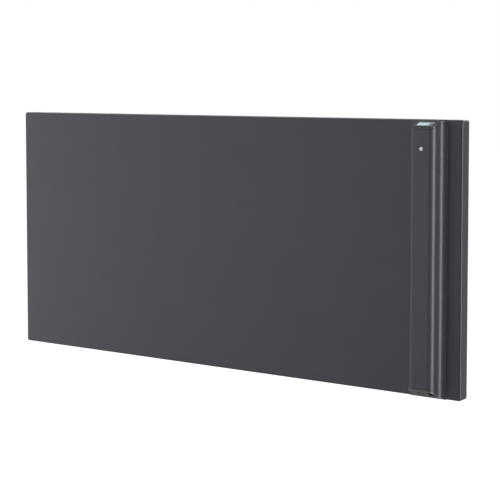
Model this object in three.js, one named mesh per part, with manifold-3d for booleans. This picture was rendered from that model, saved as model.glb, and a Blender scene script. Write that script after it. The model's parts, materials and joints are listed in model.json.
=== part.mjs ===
// Panel heater: a thin folded steel front over a convection element, with a control column on its
// face and a wall bracket behind it. Millimetres, X to the right, Y into the wall, Z up. The origin
// is on the wall, in the middle of the bracket's cross bar.
import * as THREE from "three";
import { mergeVertices } from "three/addons/utils/BufferGeometryUtils.js";
import Module from "manifold-3d";

// Clearances and cutting
const gap = 0.3; // between two pieces that lie together
const shankGap = 0.4; // round a screw, rivet or rod in its hole
const cutOverrun = 6; // how far a cut runs past what it cuts

// Front panel
const panelWidth = 784;
const panelHeight = 370;
const panelDepth = 19;
const panelSheet = 1.2;
const panelEdgeRadius = 3;
const returnWidth = 14; // the flange folded inwards at the back
const faceDistance = 62; // from the wall to the panel's face
const cornerToEdgeShare = 1.2; // plan corner radius as a share of the edge radius

// Rear casing
const rearSheet = 0.8;
const rimInset = 3; // from the panel's edge to the rim's edge
const boxSideInset = 42; // from the panel's edge to the raised box, at the ends
const boxEndInset = 17; // the same, above and below
const boxEdgeRadius = 2.5;
const wallSpace = 15; // from the wall to the back of the box
const airSlotLength = 44;
const airSlotWidth = 6;
const airSlotPitch = 58;
const airSlotRowPitch = 11;
const airSlotsPerRow = 11;
const airRowCount = 2;
const airRowSetback = 7; // from the box's back to the nearest row
const backSlotLength = 26;
const backSlotWidth = 5;
const backSlotPitch = 18;
const backSlotsPerBank = 5;
const backSlotHeight = 118; // their middle, above and below the centre
const rimScrewHeadRadius = 3.4;
const rimScrewHeadHeight = 1.8;
const rimScrewShankRadius = 1.6;
const rimScrewLength = 6;

// Control column
const columnInset = 48.3; // from the panel's right edge to the column's centre line
const columnDepth = 24;
const columnFlatWidth = 21.4;
const columnBendRadius = 8;
const columnFlankHeight = 7.4; // the straight stretch between its two bends
const footLip = 0.6; // the edge where the foot meets the panel
const columnWall = 1.5;
const topDrop = 9.6; // how far the top slopes down towards the front
const bottomRise = 12.5; // how far the underside slopes up towards the front
const capThickness = 2.2;
const capLipReach = 1.2; // how far the caps reach back over the panel's edge
const tongueLength = 5;
const tongueThickness = 1.2;
const topTongueStart = 9;
const topTongueWidth = 11;
const bottomTongueStart = 18.6;
const bottomTongueWidth = 3;

// Display and buttons, measured up the slanted top from its front edge
const windowWidth = 24.4;
const windowHeight = 13.6;
const windowStart = 6.2;
const windowThickness = 1.2;
const windowLedge = 1.2;
const moduleWidth = 26;
const moduleHeight = 14.4;
const moduleStart = 5.9;
const moduleThickness = 3;
const displayBoardWidth = 29;
const displayBoardStart = 0.6;
const displayBoardHeight = 21;
const displayBoardThickness = 1.2;
const buttonWidth = 5;
const buttonHeight = 2.8;
const buttonStart = 2;
const buttonPitch = 8;
const buttonProud = 0.7;
const buttonFlange = 0.6;
const buttonFlangeThickness = 0.9;
const buttonTravel = 0.5;
const tactBodyWidth = 4.2;
const tactBodyHeight = 3.2;
const tactBodyThickness = 1.1;
const tactStemRadius = 0.9;

// Indicator
const indicatorDrop = 37.7; // from the panel's top to the lens
const lensRadius = 2.4;
const lensProud = 0.3;
const lensFlange = 1.2;
const lensFlangeThickness = 1;
const lensStemRadius = 1.5;
const ledWidth = 3.2;
const ledHeight = 2.8;
const ledThickness = 1.5;

// Carrier and power board in the column
const carrierBase = 2;
const carrierWall = 1.5;
const carrierWallHeight = 12;
const carrierTop = 25; // from the panel's top to the carrier
const carrierBottom = 45; // from the panel's bottom to the carrier
const postHeight = 3.7;
const postRadius = 2.6;
const boardWidth = 28;
const boardThickness = 1.6;
const boardTop = 28; // from the panel's top to the board
const boardPieceGap = 8; // between the pieces on the board, and past the last
const boardPinInset = 4;
const boardPinRadius = 1.1;
const boardPinHeadRadius = 1.9;
const boardPinHeadHeight = 1.4;
const carrierScrewRadius = 1.5;
const carrierScrewHeadRadius = 2.8;
const carrierScrewHeadHeight = 1.6;
const carrierScrewReach = 5;
const relayWidth = 15;
const relayLength = 20;
const relayHeight = 11;
const moduleBlockWidth = 22;
const moduleBlockLength = 34;
const moduleBlockHeight = 12;
const ledRoom = 20.3; // from the indicator down to the first piece on the board
const capacitorRadius = 5;
const capacitorLength = 16;
const connectorWidth = 24;
const connectorLength = 10;
const connectorHeight = 9;
const connectorPortRadius = 2;
const connectorPortDepth = 5;
const connectorPortPitch = 5.6;
const connectorPortCount = 4;

// Opening for the wires between column and casing
const wireWindowWidth = 18;
const wireWindowHeight = 36;
const wireWindowRise = 110; // from the panel's bottom to its middle
const grommetWall = 1.3;
const grommetFlange = 2;

// Mains switch and room sensor in the bottom cap
const rockerWidth = 4.6;
const rockerLength = 8.6;
const rockerHeight = 4.5;
const rockerDish = 0.8;
const rockerKeel = 1.2;
const rockerPivotDepth = 4;
const rockerPivotRadius = 0.8;
const rockerPivotReach = 0.8;
const rockerTilt = 6.5; // degrees each side of the middle
const rockerOffset = 12.6; // from the column's centre line
const rockerStart = 7; // from the underside's front edge
const rockerClearance = 0.8;
const switchWall = 1.3;
const switchDepth = 12;
const switchPocketDepth = 4.6;
const switchTerminalRadius = 1.5;
const airHoleRadius = 1.3;
const frontHoleOffset = -4.5;
const frontHoleStart = 9;
const rearHoleOffset = 0.3;
const rearHoleStart = 11.8;
const sensorRadius = 2.2;
const sensorLength = 6;
const sensorStart = 15;

// Element, its supports and the shield behind it
const elementEndRoom = 70; // from the fins' ends to the sides of the raised box
const elementRise = 90; // from the panel's bottom to the element's centre line
const elementHubRadius = 8;
const elementLongArm = 24;
const elementShortArm = 14;
const elementArmWidth = 2.4;
const coreRadius = 4;
const coreEnd = 30;
const studRadius = 1.6;
const studLength = 10;
const bushRadius = 9;
const bushFlange = 2.5;
const bushFlangeWidth = 2.5;
const elementBracketSheet = 1.5;
const elementBracketSpace = 12; // from the fins' end to the bracket
const elementBracketFoot = 18;
const elementBracketHeight = 44;
const elementBracketMargin = 5;
const shieldSheet = 0.8;
const shieldHookGap = 3; // from the hooks up to the shield
const shieldShelfGap = 6; // from the shield up to the cut-out's shelf
const shieldLip = 10;

// Overheat cut-out and terminal block
const cutoutInset = 150; // from the right side of the raised box
const cutoutRadius = 8;
const cutoutThickness = 6;
const cutoutEarLength = 12;
const cutoutEarWidth = 5;
const cutoutTerminalRadius = 1.6;
const cutoutTerminalSpacing = 8;
const cutoutTerminalLength = 6;
const cutoutBracketSheet = 1.2;
const cutoutBracketWidth = 26;
const cutoutBracketFoot = 14;
const cutoutAbove = 39; // from the element's centre line up to the shelf
const terminalWidth = 32;
const terminalDepth = 16;
const terminalHeight = 20;
const terminalInset = 50; // from the right side of the raised box
const terminalRise = 160; // from the panel's bottom to the block's top
const terminalPitch = 10.7;
const terminalPortRadius = 2.2;
const terminalPortDepth = 6;

// Cable gland
const glandInset = 100; // from the right side of the raised box
const glandBoreRadius = 4.4;
const glandNeckRadius = 7.2;
const glandNeckLength = 7;
const glandFlangeRadius = 10;
const glandFlangeThickness = 2.6;
const glandStubLength = 5;
const glandNutRadius = 10;
const glandNutEnd = 2.2;

// Wall bracket
const railInset = 170; // from the raised box's side to each rail's middle
const railWidth = 30;
const railSheet = 1.5;
const railBelowHook = 11; // from the hooks down to the rail's end
const railTopInset = 3; // from the panel's top
const bridgeHeight = 34;
const hookRise = 36; // from the panel's bottom to the level that carries the heater
const hookTongue = 5;
const hookLip = 6;
const wallHoleRadius = 3.5;
const wallHoleSlot = 10;
const upperHoleInset = 72; // from the rail's top to the hole's middle
const lowerHoleInset = 75; // from the rail's lower end
const crossBarHeight = 40;
const crossBarSheet = 1.5;
const crossBarTab = 22;
const crossBarJoggle = 4;
const rivetRadius = 2;
const rivetHeadRadius = 3.8;
const rivetHeadHeight = 1.2;

// Latches on the bracket
const latchPivotInset = 10; // from the panel's top
const latchNose = 15;
const latchWidth = 8;
const latchPlate = 2;
const latchHubRadius = 5;
const latchHubDepth = 1.4;
const latchTab = 7.5;
const latchTabLip = 5;
const pivotRadius = 2.2;
const pivotHeadRadius = 4;
const pivotHeadHeight = 1.2;

// Lower buffers
const bufferInset = 20; // from the side of the raised box
const bufferRise = 35; // from the panel's bottom
const bufferRadius = 9;
const bufferStemRadius = 3;
const bufferHeadRadius = 4.2;
const bufferHeadThickness = 1.8;

// Wires
const mainsWireRadius = 1.4;
const signalWireRadius = 0.8;
const wireStraight = 5; // a wire's straight ends
const ribbonWidth = 8;
const ribbonThickness = 0.6;
const ribbonOffset = -8; // from the column's centre line
const ribbonBulge = 4;
const ribbonLanding = 7;

// Routes of the wires, each in stretches measured from the place in its name: the middle of the wire
// window on the panel's face, the top of the terminal block, the middle of the cut-out's shelf, the end
// of the element's stud, or a lower corner of the raised box
const liveFromTerminal = [
  [18, -4, 15],
  [32, -14, -10],
];
const liveFromWindow = [
  [-5, 19, 8],
  [1, 13, -9],
  [2.3, 5, -12],
  [2.3, -4, -12],
  [5, -7, -30],
];
const neutralFromTerminal = [
  [4, -6, 25],
  [22, -22, 15],
];
const neutralFromWindow = [
  [-6, 12, 25],
  [-2.8, 5, 8],
  [-2.8, -4, 8],
  [-2.8, -11, 18],
];
const switchedFromWindow = [
  [12.3, -13.5, -35],
  [9.3, -12.5, 15],
];
const feedFromWindow = [
  [2.8, -11, 18],
  [2.8, -4, 0],
  [2.5, 5, -2],
  [-18, 10, -1],
];
const feedFromCutout = [
  [90, -12, 3],
  [40, -9, 21],
  [6, -5, 23],
];
const linkFromCutout = [
  [14, 2, 16],
  [50, 0, 6],
];
const linkFromStud = [
  [-30, -2, 34],
  [-2, -2, 27],
  [14, -1, 13],
];
const returnFromStud = [
  [-12, 0, -13],
  [-8, 2, -37],
];
const returnFromLeftCorner = [
  [45, -20, 18],
  [150, -19, 15],
];
const returnFromRightCorner = [
  [-160, -19, 15],
  [-70, -17, 16],
];
const returnFromTerminal = [
  [4, -6, -112],
  [3, -1, -75],
];
const sensorFromWindow = [
  [-8, -9.5, -60],
  [-8.7, -11, -10],
  [-8.4, -12.4, 20],
];

// Counts
const elementArms = 8;
const bendSteps = 6; // faces round a bend of the column
const arcSteps = 2; // an arc gets twice this many sides
const slotSteps = 1;
const edgeSteps = 4;
const smallSides = 12;
const mediumSides = 20;
const largeSides = 28;
const hexSides = 6;
const wireSides = 8;
const stepsPerPoint = 6; // along a wire, for each point of its route

// Levels and places worked out from the sizes above
const halfWidth = panelWidth / 2;
const halfHeight = panelHeight / 2;
const faceY = -faceDistance;
const faceInsideY = faceY + panelSheet;
const panelBackY = faceY + panelDepth;
const boxBackY = -wallSpace;
const boxInsideY = boxBackY - rearSheet;
const rimBackY = panelBackY + rearSheet;
const boxHalfWidth = halfWidth - boxSideInset;
const boxHalfHeight = halfHeight - boxEndInset;
const railX = boxHalfWidth - railInset;
const columnX = halfWidth - columnInset;
const columnFrontY = faceY - columnDepth;
const columnHalfFlat = columnFlatWidth / 2;
const columnHalfWidth = columnHalfFlat + columnBendRadius;
const footBendRadius = columnDepth - columnBendRadius - columnFlankHeight - footLip;
const innerHalfWidth = columnHalfWidth - columnWall;
const topAngle = Math.atan2(topDrop, columnDepth);
const bottomAngle = Math.atan2(bottomRise, columnDepth);
const frontTopZ = halfHeight - topDrop;
const frontBottomZ = bottomRise - halfHeight;
const carrierTopZ = halfHeight - carrierTop;
const carrierBottomZ = carrierBottom - halfHeight;
const carrierHalfWidth = innerHalfWidth - gap;
const carrierFrontY = faceY - carrierBase;
const boardBackY = carrierFrontY - postHeight - gap;
const boardFrontY = boardBackY - boardThickness;
const boardTopZ = halfHeight - boardTop;
const indicatorZ = halfHeight - indicatorDrop;
const moduleBlockTopZ = indicatorZ - ledRoom;
const relayTopZ = moduleBlockTopZ - moduleBlockLength - boardPieceGap;
const capacitorTopZ = relayTopZ - relayLength - boardPieceGap;
const connectorTopZ = capacitorTopZ - capacitorLength - boardPieceGap;
const connectorPortZ = connectorTopZ - connectorLength;
const boardBottomZ = connectorPortZ - boardPieceGap;
const wireWindowZ = wireWindowRise - halfHeight;
const bracketFaceY = boxBackY + gap;
const railHalf = railWidth / 2;
const hookZ = hookRise - halfHeight;
const railBottomZ = hookZ - hookTongue - railBelowHook;
const railTopZ = halfHeight - railTopInset;
const latchZ = halfHeight - latchPivotInset;
const latchHubY = bracketFaceY - gap;
const latchBackY = latchHubY - latchHubDepth;
const latchFrontY = latchBackY - latchPlate;
const elementY = (faceInsideY + boxInsideY) / 2;
const elementZ = elementRise - halfHeight;
const elementHalf = boxHalfWidth - elementEndRoom;
const elementBracketX = elementHalf + elementBracketSpace;
const coreHalf = elementHalf + coreEnd;
const studX = coreHalf + studLength;
const cutoutX = boxHalfWidth - cutoutInset;
const shelfZ = elementZ + cutoutAbove;
const terminalX = boxHalfWidth - terminalInset;
const terminalTopZ = terminalRise - halfHeight;
const terminalFrontY = boxInsideY - terminalDepth;
const terminalPortY = boxInsideY - terminalDepth / 2;
const glandX = boxHalfWidth - glandInset;
const glandY = (rimBackY + boxBackY) / 2;
const bufferX = boxHalfWidth - bufferInset;
const bufferZ = bufferRise - halfHeight;

const wasm = await Module();
wasm.setup();

// The two slanted ends of the column: X across, Y up or down the slope from its front edge
const topFrame = new THREE.Matrix4().makeRotationX(topAngle);
topFrame.setPosition(columnX, columnFrontY, frontTopZ);
const bottomFrame = new THREE.Matrix4().makeRotationX(-bottomAngle);
bottomFrame.setPosition(columnX, columnFrontY, frontBottomZ);

const heater = new THREE.Group();
const topGroup = new THREE.Group();
const bottomGroup = new THREE.Group();
topGroup.applyMatrix4(topFrame);
bottomGroup.applyMatrix4(bottomFrame);
heater.add(topGroup, bottomGroup);

// Finishes: colour, roughness, metalness
const coat = [0x53535a, 0.55, 0.1];
const columnCoat = [0x47474e, 0.5, 0.1];
const zinc = [0xa9adb2, 0.42, 0.85];
const aluminium = [0xb4b6b8, 0.4, 0.9];
const steel = [0x8d9096, 0.35, 0.9];
const blackPlastic = [0x1c1c1f, 0.5, 0];
const greyPlastic = [0x6b6c70, 0.6, 0];
const palePlastic = [0xd8d6cf, 0.5, 0];
const rubber = [0x18181a, 0.85, 0];
const boardGreen = [0x1f5a3a, 0.5, 0];
const ceramic = [0xe6e0d4, 0.7, 0];
const smokedGlass = [0x14181c, 0.1, 0];
const litGlass = [0xc4dde2, 0.3, 0];
const blueCoat = [0x2553a0, 0.45, 0];
const brownWire = [0x5a3420, 0.45, 0];
const clearLens = [0xe8ecef, 0.15, 0];

// Shapes and solids

function solid(geometry) {
  const bare = geometry.clone();
  bare.deleteAttribute("normal");
  bare.deleteAttribute("uv");
  const welded = mergeVertices(bare);
  const vertProperties = new Float32Array(welded.attributes.position.array);
  const triVerts = new Uint32Array(welded.index.array);
  return new wasm.Manifold(new wasm.Mesh({ numProp: 3, vertProperties, triVerts }));
}

function add(name, body, finish, group = heater) {
  const data = body.getMesh();
  const geometry = new THREE.BufferGeometry();
  geometry.setAttribute("position", new THREE.BufferAttribute(new Float32Array(data.vertProperties), 3));
  geometry.setIndex(new THREE.BufferAttribute(new Uint32Array(data.triVerts), 1));
  geometry.computeVertexNormals();
  const [color, roughness, metalness] = finish;
  const mesh = new THREE.Mesh(geometry, new THREE.MeshStandardMaterial({ color, roughness, metalness }));
  mesh.name = name;
  group.add(mesh);
}

function boxGeometry([x0, x1], [y0, y1], [z0, z1]) {
  const geometry = new THREE.BoxGeometry(x1 - x0, y1 - y0, z1 - z0);
  geometry.translate((x0 + x1) / 2, (y0 + y1) / 2, (z0 + z1) / 2);
  return geometry;
}

function box(x, y, z) {
  return solid(boxGeometry(x, y, z));
}

function boxIn(frame, x, y, z) {
  return solid(boxGeometry(x, y, z).applyMatrix4(frame));
}

function around(middle, size) {
  return [middle - size / 2, middle + size / 2];
}

function extruded(shape, depth, curveSegments = arcSteps) {
  return new THREE.ExtrudeGeometry(shape, { depth, curveSegments, bevelEnabled: false });
}

// A shape drawn in X and Z, thick along Y
function alongY(shape, [y0, y1], steps) {
  const basis = new THREE.Matrix4();
  basis.makeBasis(new THREE.Vector3(1, 0, 0), new THREE.Vector3(0, 0, 1), new THREE.Vector3(0, -1, 0));
  basis.setPosition(0, y1, 0);
  return solid(extruded(shape, y1 - y0, steps).applyMatrix4(basis));
}

// A shape drawn in Y and Z, thick along X
function alongX(shape, [x0, x1]) {
  const basis = new THREE.Matrix4();
  basis.makeBasis(new THREE.Vector3(0, 1, 0), new THREE.Vector3(0, 0, 1), new THREE.Vector3(1, 0, 0));
  basis.setPosition(x0, 0, 0);
  return solid(extruded(shape, x1 - x0).applyMatrix4(basis));
}

// A shape drawn in X and Y, thick along Z
function alongZ(shape, [z0, z1], steps) {
  return solid(extruded(shape, z1 - z0, steps).translate(0, 0, z0));
}

function polygon(points) {
  return new THREE.Shape(points.map(([a, b]) => new THREE.Vector2(a, b)));
}

function roundedRectangle([a0, a1], [b0, b1], radius) {
  const shape = new THREE.Shape();
  const quarter = Math.PI / 2;
  shape.absarc(a1 - radius, b0 + radius, radius, -quarter, 0);
  shape.absarc(a1 - radius, b1 - radius, radius, 0, quarter);
  shape.absarc(a0 + radius, b1 - radius, radius, quarter, 2 * quarter);
  shape.absarc(a0 + radius, b0 + radius, radius, 2 * quarter, 3 * quarter);
  return shape;
}

// A slot with round ends, its length along the first direction or the second
function slotShape(a, b, length, width, upright) {
  const [aSize, bSize] = upright ? [width, length] : [length, width];
  return roundedRectangle(around(a, aSize), around(b, bSize), width / 2);
}

// A plate with its edges rounded at both ends; a flat end is made by cutting a longer plate
function roundedSlab(halfX, halfZ, [y0, y1], radius) {
  const corner = radius * cornerToEdgeShare;
  const shape = roundedRectangle([-halfX, halfX], [-halfZ, halfZ], corner);
  const geometry = new THREE.ExtrudeGeometry(shape, {
    depth: y1 - y0 - 2 * radius,
    curveSegments: arcSteps,
    bevelThickness: radius,
    bevelSize: radius,
    bevelOffset: -radius,
    bevelSegments: edgeSteps,
  });
  const basis = new THREE.Matrix4();
  basis.makeBasis(new THREE.Vector3(1, 0, 0), new THREE.Vector3(0, 0, 1), new THREE.Vector3(0, -1, 0));
  basis.setPosition(0, y1 - radius, 0);
  return solid(geometry.applyMatrix4(basis));
}

// Turned pieces: the profile lists radius and height, from the low end to the high one
function turned(profile, sides, axis = "z") {
  const geometry = new THREE.LatheGeometry(profile.map(([r, h]) => new THREE.Vector2(r, h)), sides);
  if (axis === "z") geometry.rotateX(Math.PI / 2);
  if (axis === "x") geometry.rotateZ(-Math.PI / 2);
  return solid(geometry);
}

function rod(radius, [low, high], sides, axis) {
  return turned([[0, low], [radius, low], [radius, high], [0, high]], sides, axis);
}

function joined(solids) {
  return solids.reduce((whole, piece) => whole.add(piece));
}

function cut(body, cutters) {
  return body.subtract(joined(cutters));
}

// Front panel, rear casing and the screws round its rim

function panelOutside(grown) {
  const y = [faceY - grown, panelBackY + grown + cutOverrun];
  return roundedSlab(halfWidth + grown, halfHeight + grown, y, panelEdgeRadius + grown);
}

// Everything between two planes that stand across Y
function layer(y) {
  return box([-panelWidth, panelWidth], y, [-panelHeight, panelHeight]);
}

function frontPanel() {
  const outside = panelOutside(0).intersect(layer([faceY, panelBackY]));
  const hollowY = [faceInsideY, panelBackY + cutOverrun];
  const innerRadius = panelEdgeRadius - panelSheet;
  const hollow = roundedSlab(halfWidth - panelSheet, halfHeight - panelSheet, hollowY, innerRadius);
  const returnInsideY = panelBackY - panelSheet;
  const mouthX = halfWidth - returnWidth;
  const mouthZ = halfHeight - returnWidth;
  const mouthY = [returnInsideY - panelSheet, panelBackY + cutOverrun];
  const mouth = box([-mouthX, mouthX], mouthY, [-mouthZ, mouthZ]);
  const cutters = [hollow.intersect(layer([faceY, returnInsideY])), mouth, wireWindow(0)];
  return cut(outside, [...cutters, ...rimScrewHoles(), ...carrierScrewHoles()]);
}

// One screw at each corner of the rim, in the middle of the folded flange
function rimScrewPlaces() {
  const z = halfHeight - (rimInset + returnWidth) / 2;
  const x = halfWidth - (rimInset + returnWidth) / 2;
  return [[-x, -z], [x, -z], [x, z], [-x, z]];
}

function rimScrewHoles() {
  const y = [panelBackY - panelSheet - cutOverrun, rimBackY + cutOverrun];
  return rimScrewPlaces().map(([x, z]) => {
    return rod(rimScrewShankRadius + shankGap, y, smallSides, "y").translate(x, 0, z);
  });
}

function rimScrew([x, z]) {
  const tip = rimBackY - rimScrewLength;
  const top = rimBackY + rimScrewHeadHeight;
  const profile = [
    [0, tip],
    [rimScrewShankRadius, tip],
    [rimScrewShankRadius, rimBackY],
    [rimScrewHeadRadius, rimBackY],
    [rimScrewHeadRadius, (rimBackY + top) / 2],
    [rimScrewHeadRadius - rimScrewHeadHeight / 2, top],
    [0, top],
  ];
  return turned(profile, smallSides, "y").translate(x, 0, z);
}

function airSlots() {
  const slots = [];
  const first = ((airSlotsPerRow - 1) * airSlotPitch) / 2;
  for (let row = 0; row < airRowCount; row += 1) {
    const y = boxBackY - airRowSetback - row * airSlotRowPitch;
    for (let column = 0; column < airSlotsPerRow; column += 1) {
      const shape = slotShape(column * airSlotPitch - first, y, airSlotLength, airSlotWidth, false);
      slots.push(alongZ(shape, [boxHalfHeight - cutOverrun, boxHalfHeight + cutOverrun], slotSteps));
      slots.push(alongZ(shape, [-boxHalfHeight - cutOverrun, -boxHalfHeight + cutOverrun], slotSteps));
    }
  }
  return slots;
}

function backSlots() {
  const slots = [];
  const first = ((backSlotsPerBank - 1) * backSlotPitch) / 2;
  const banks = [-(boxHalfWidth + railX) / 2, 0, (boxHalfWidth + railX) / 2];
  for (const bank of banks) {
    for (let column = 0; column < backSlotsPerBank; column += 1) {
      for (const z of [-backSlotHeight, backSlotHeight]) {
        const x = bank + column * backSlotPitch - first;
        const shape = slotShape(x, z, backSlotLength, backSlotWidth, true);
        slots.push(alongY(shape, [boxInsideY - cutOverrun, boxBackY + cutOverrun], slotSteps));
      }
    }
  }
  return slots;
}

function hookPlaces() {
  const inner = railHalf - railSheet / 2;
  return [-railX, railX].flatMap((x) => [x - inner, x + inner]);
}

function hookSlots() {
  const width = railSheet + 4 * gap;
  const z = [hookZ - hookTongue - hookLip - 2 * gap, hookZ + gap];
  const y = [boxInsideY - cutOverrun, boxBackY + cutOverrun];
  return hookPlaces().map((x) => box(around(x, width), y, z));
}

function latchSlots() {
  const drop = latchZ - boxHalfHeight;
  const swing = Math.sqrt(latchNose ** 2 - drop ** 2) + 3 * gap;
  const y = [latchFrontY - 2 * gap, latchBackY + gap];
  const z = [boxHalfHeight - boxEdgeRadius - gap, boxHalfHeight + cutOverrun];
  const start = latchWidth / 2 + 2 * gap;
  return [-railX, railX].map((x) => box([x - start, x + swing], y, z));
}

function rearShell() {
  const outerY = [panelBackY - boxEdgeRadius - cutOverrun, boxBackY];
  const raised = roundedSlab(boxHalfWidth, boxHalfHeight, outerY, boxEdgeRadius);
  const rimX = [rimInset - halfWidth, halfWidth - rimInset];
  const rimZ = [rimInset - halfHeight, halfHeight - rimInset];
  const rim = box(rimX, [panelBackY, rimBackY], rimZ);
  const innerRadius = boxEdgeRadius - rearSheet;
  const innerY = [outerY[0] - cutOverrun, boxInsideY];
  const hollow = roundedSlab(boxHalfWidth - rearSheet, boxHalfHeight - rearSheet, innerY, innerRadius);
  const outside = raised.intersect(layer([panelBackY, 0])).add(rim);
  const openings = [hollow, glandHole(), ...airSlots(), ...backSlots(), ...hookSlots(), ...latchSlots()];
  return cut(outside, [...openings, ...rimScrewHoles(), ...bufferHoles()]);
}

// Element, its supports and the heat shield

function elementOutline() {
  const points = [];
  for (let arm = 0; arm < elementArms; arm += 1) {
    const angle = (arm * 2 * Math.PI) / elementArms;
    const reach = arm % 2 ? elementLongArm : elementShortArm;
    const along = [Math.cos(angle), Math.sin(angle)];
    const side = [-along[1] * (elementArmWidth / 2), along[0] * (elementArmWidth / 2)];
    for (const [radius, way] of [[elementHubRadius, -1], [reach, -1], [reach, 1], [elementHubRadius, 1]]) {
      points.push([along[0] * radius + side[0] * way, along[1] * radius + side[1] * way]);
    }
  }
  return polygon(points);
}

function elementFins() {
  const x = [-elementHalf, elementHalf];
  const bore = rod(coreRadius + gap, [x[0] - cutOverrun, x[1] + cutOverrun], mediumSides, "x");
  return alongX(elementOutline(), x).subtract(bore).translate(0, elementY, elementZ);
}

function elementCore() {
  const profile = [
    [0, -studX],
    [studRadius, -studX],
    [studRadius, -coreHalf],
    [coreRadius, -coreHalf],
    [coreRadius, coreHalf],
    [studRadius, coreHalf],
    [studRadius, studX],
    [0, studX],
  ];
  return turned(profile, mediumSides, "x").translate(0, elementY, elementZ);
}

// Supports at the right end; the left ones are their mirror images
function elementBush(side) {
  const bore = coreRadius + gap;
  const near = elementBracketX - bushFlangeWidth - gap;
  const shoulder = elementBracketX - gap;
  const far = elementBracketX + elementBracketSheet + bushFlangeWidth;
  const profile = [
    [bore, near],
    [bushRadius + bushFlange, near],
    [bushRadius + bushFlange, shoulder],
    [bushRadius, shoulder],
    [bushRadius, far],
    [bore, far],
    [bore, near],
  ];
  const bush = turned(profile, mediumSides, "x").translate(0, elementY, elementZ);
  return side > 0 ? bush : bush.mirror([1, 0, 0]);
}

function elementBracket(side) {
  const inside = elementBracketX;
  const outside = inside + elementBracketSheet;
  const frontY = elementY - bushRadius - elementBracketMargin;
  const z = around(elementZ, elementBracketHeight);
  const plate = box([inside, outside], [frontY, boxInsideY], z);
  const footY = [boxInsideY - elementBracketSheet, boxInsideY];
  const foot = box([inside, inside + elementBracketFoot], footY, z);
  const holeX = [inside - cutOverrun, outside + cutOverrun];
  const hole = rod(bushRadius + gap, holeX, mediumSides, "x").translate(0, elementY, elementZ);
  const bracket = plate.add(foot).subtract(hole);
  return side > 0 ? bracket : bracket.mirror([1, 0, 0]);
}

function heatShield() {
  const half = elementBracketX - 2 * gap;
  const backY = boxInsideY - gap;
  const lipY = backY - shieldSheet - shieldLip;
  const z = [hookZ + hookLip + shieldHookGap, shelfZ - shieldShelfGap];
  const whole = box([-half, half], [lipY, backY], z);
  const hollowX = widened([-half, half], cutOverrun);
  const hollow = box(hollowX, [lipY - cutOverrun, backY - shieldSheet], widened(z, -shieldSheet));
  return whole.subtract(hollow);
}

// Overheat cut-out on its shelf

function cutoutPlace(body) {
  return body.translate(cutoutX, elementY, shelfZ);
}

function cutoutBracket() {
  const x = around(cutoutX, cutoutBracketWidth);
  const footY = [boxInsideY - cutoutBracketSheet, boxInsideY];
  const shelf = box(x, [elementY - cutoutRadius, boxInsideY], [shelfZ, shelfZ + cutoutBracketSheet]);
  const foot = box(x, footY, [shelfZ, shelfZ + cutoutBracketFoot]);
  const holes = [-1, 1].map((side) => {
    const hole = rod(cutoutTerminalRadius + gap, [-cutOverrun, cutOverrun], smallSides, "z");
    return cutoutPlace(hole.translate((side * cutoutTerminalSpacing) / 2, 0, 0));
  });
  return cut(shelf.add(foot), holes);
}

function overheatCutout() {
  const topZ = -gap;
  const disc = rod(cutoutRadius, [topZ - cutoutThickness, topZ], mediumSides, "z");
  const earLowZ = topZ - cutoutBracketSheet;
  const ears = box(around(0, 2 * cutoutEarLength), around(0, cutoutEarWidth), [earLowZ, topZ]);
  const pins = [-1, 1].map((side) => {
    const pin = rod(cutoutTerminalRadius, [earLowZ, cutoutTerminalLength], smallSides, "z");
    return pin.translate((side * cutoutTerminalSpacing) / 2, 0, 0);
  });
  return cutoutPlace(joined([disc, ears, ...pins]));
}

function terminalPortPlaces() {
  return [-terminalPitch, 0, terminalPitch].map((shift) => terminalX + shift);
}

function terminalBlock() {
  const [low, high] = [terminalTopZ - terminalHeight, terminalTopZ];
  const block = box(around(terminalX, terminalWidth), [terminalFrontY, boxInsideY], [low, high]);
  const ports = terminalPortPlaces().flatMap((x) => {
    const port = (ends) => rod(terminalPortRadius, ends, smallSides, "z").translate(x, terminalPortY, 0);
    const lower = port([low - cutOverrun, low + terminalPortDepth]);
    const upper = port([high - terminalPortDepth, high + cutOverrun]);
    const screwY = [terminalFrontY - cutOverrun, terminalFrontY + terminalPortDepth / 2];
    const screw = rod(terminalPortRadius, screwY, smallSides, "y").translate(x, 0, (low + high) / 2);
    return [lower, upper, screw];
  });
  return cut(block, ports);
}

// Cable gland in the bottom of the rear casing

function glandPlace(body) {
  return body.translate(glandX, glandY, -boxHalfHeight);
}

function glandHole() {
  return glandPlace(rod(glandNeckRadius + gap, [-cutOverrun, cutOverrun], largeSides, "z"));
}

function cableGland() {
  const stub = -glandFlangeThickness - glandStubLength;
  const profile = [
    [glandBoreRadius, stub],
    [glandNeckRadius, stub],
    [glandNeckRadius, -glandFlangeThickness],
    [glandFlangeRadius, -glandFlangeThickness],
    [glandFlangeRadius, 0],
    [glandNeckRadius, 0],
    [glandNeckRadius, glandNeckLength],
    [glandBoreRadius, glandNeckLength],
    [glandBoreRadius, stub],
  ];
  return glandPlace(turned(profile, largeSides, "z"));
}

function glandNut() {
  const top = -glandFlangeThickness - gap;
  const seat = -glandFlangeThickness - glandStubLength - gap;
  const low = seat - glandNutEnd;
  const outside = rod(glandNutRadius, [low, top], hexSides, "z");
  const domeProfile = [
    [0, low],
    [glandNutRadius - glandNutEnd, low],
    [glandNutRadius, seat],
    [glandNutRadius, top],
    [0, top],
  ];
  const dome = turned(domeProfile, largeSides);
  const bore = rod(glandBoreRadius, [low - cutOverrun, top + cutOverrun], largeSides, "z");
  const thread = rod(glandNeckRadius + gap, [seat, top + cutOverrun], largeSides, "z");
  return glandPlace(cut(outside.intersect(dome), [bore, thread]));
}

function glandLocknut() {
  const z = [rearSheet, rearSheet + glandFlangeThickness];
  const bore = rod(glandNeckRadius + gap, [-cutOverrun, z[1] + cutOverrun], largeSides, "z");
  return glandPlace(rod(glandNutRadius, z, hexSides, "z").subtract(bore));
}

// Column: its cross-section, with X across and Y out of the panel's face

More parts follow.
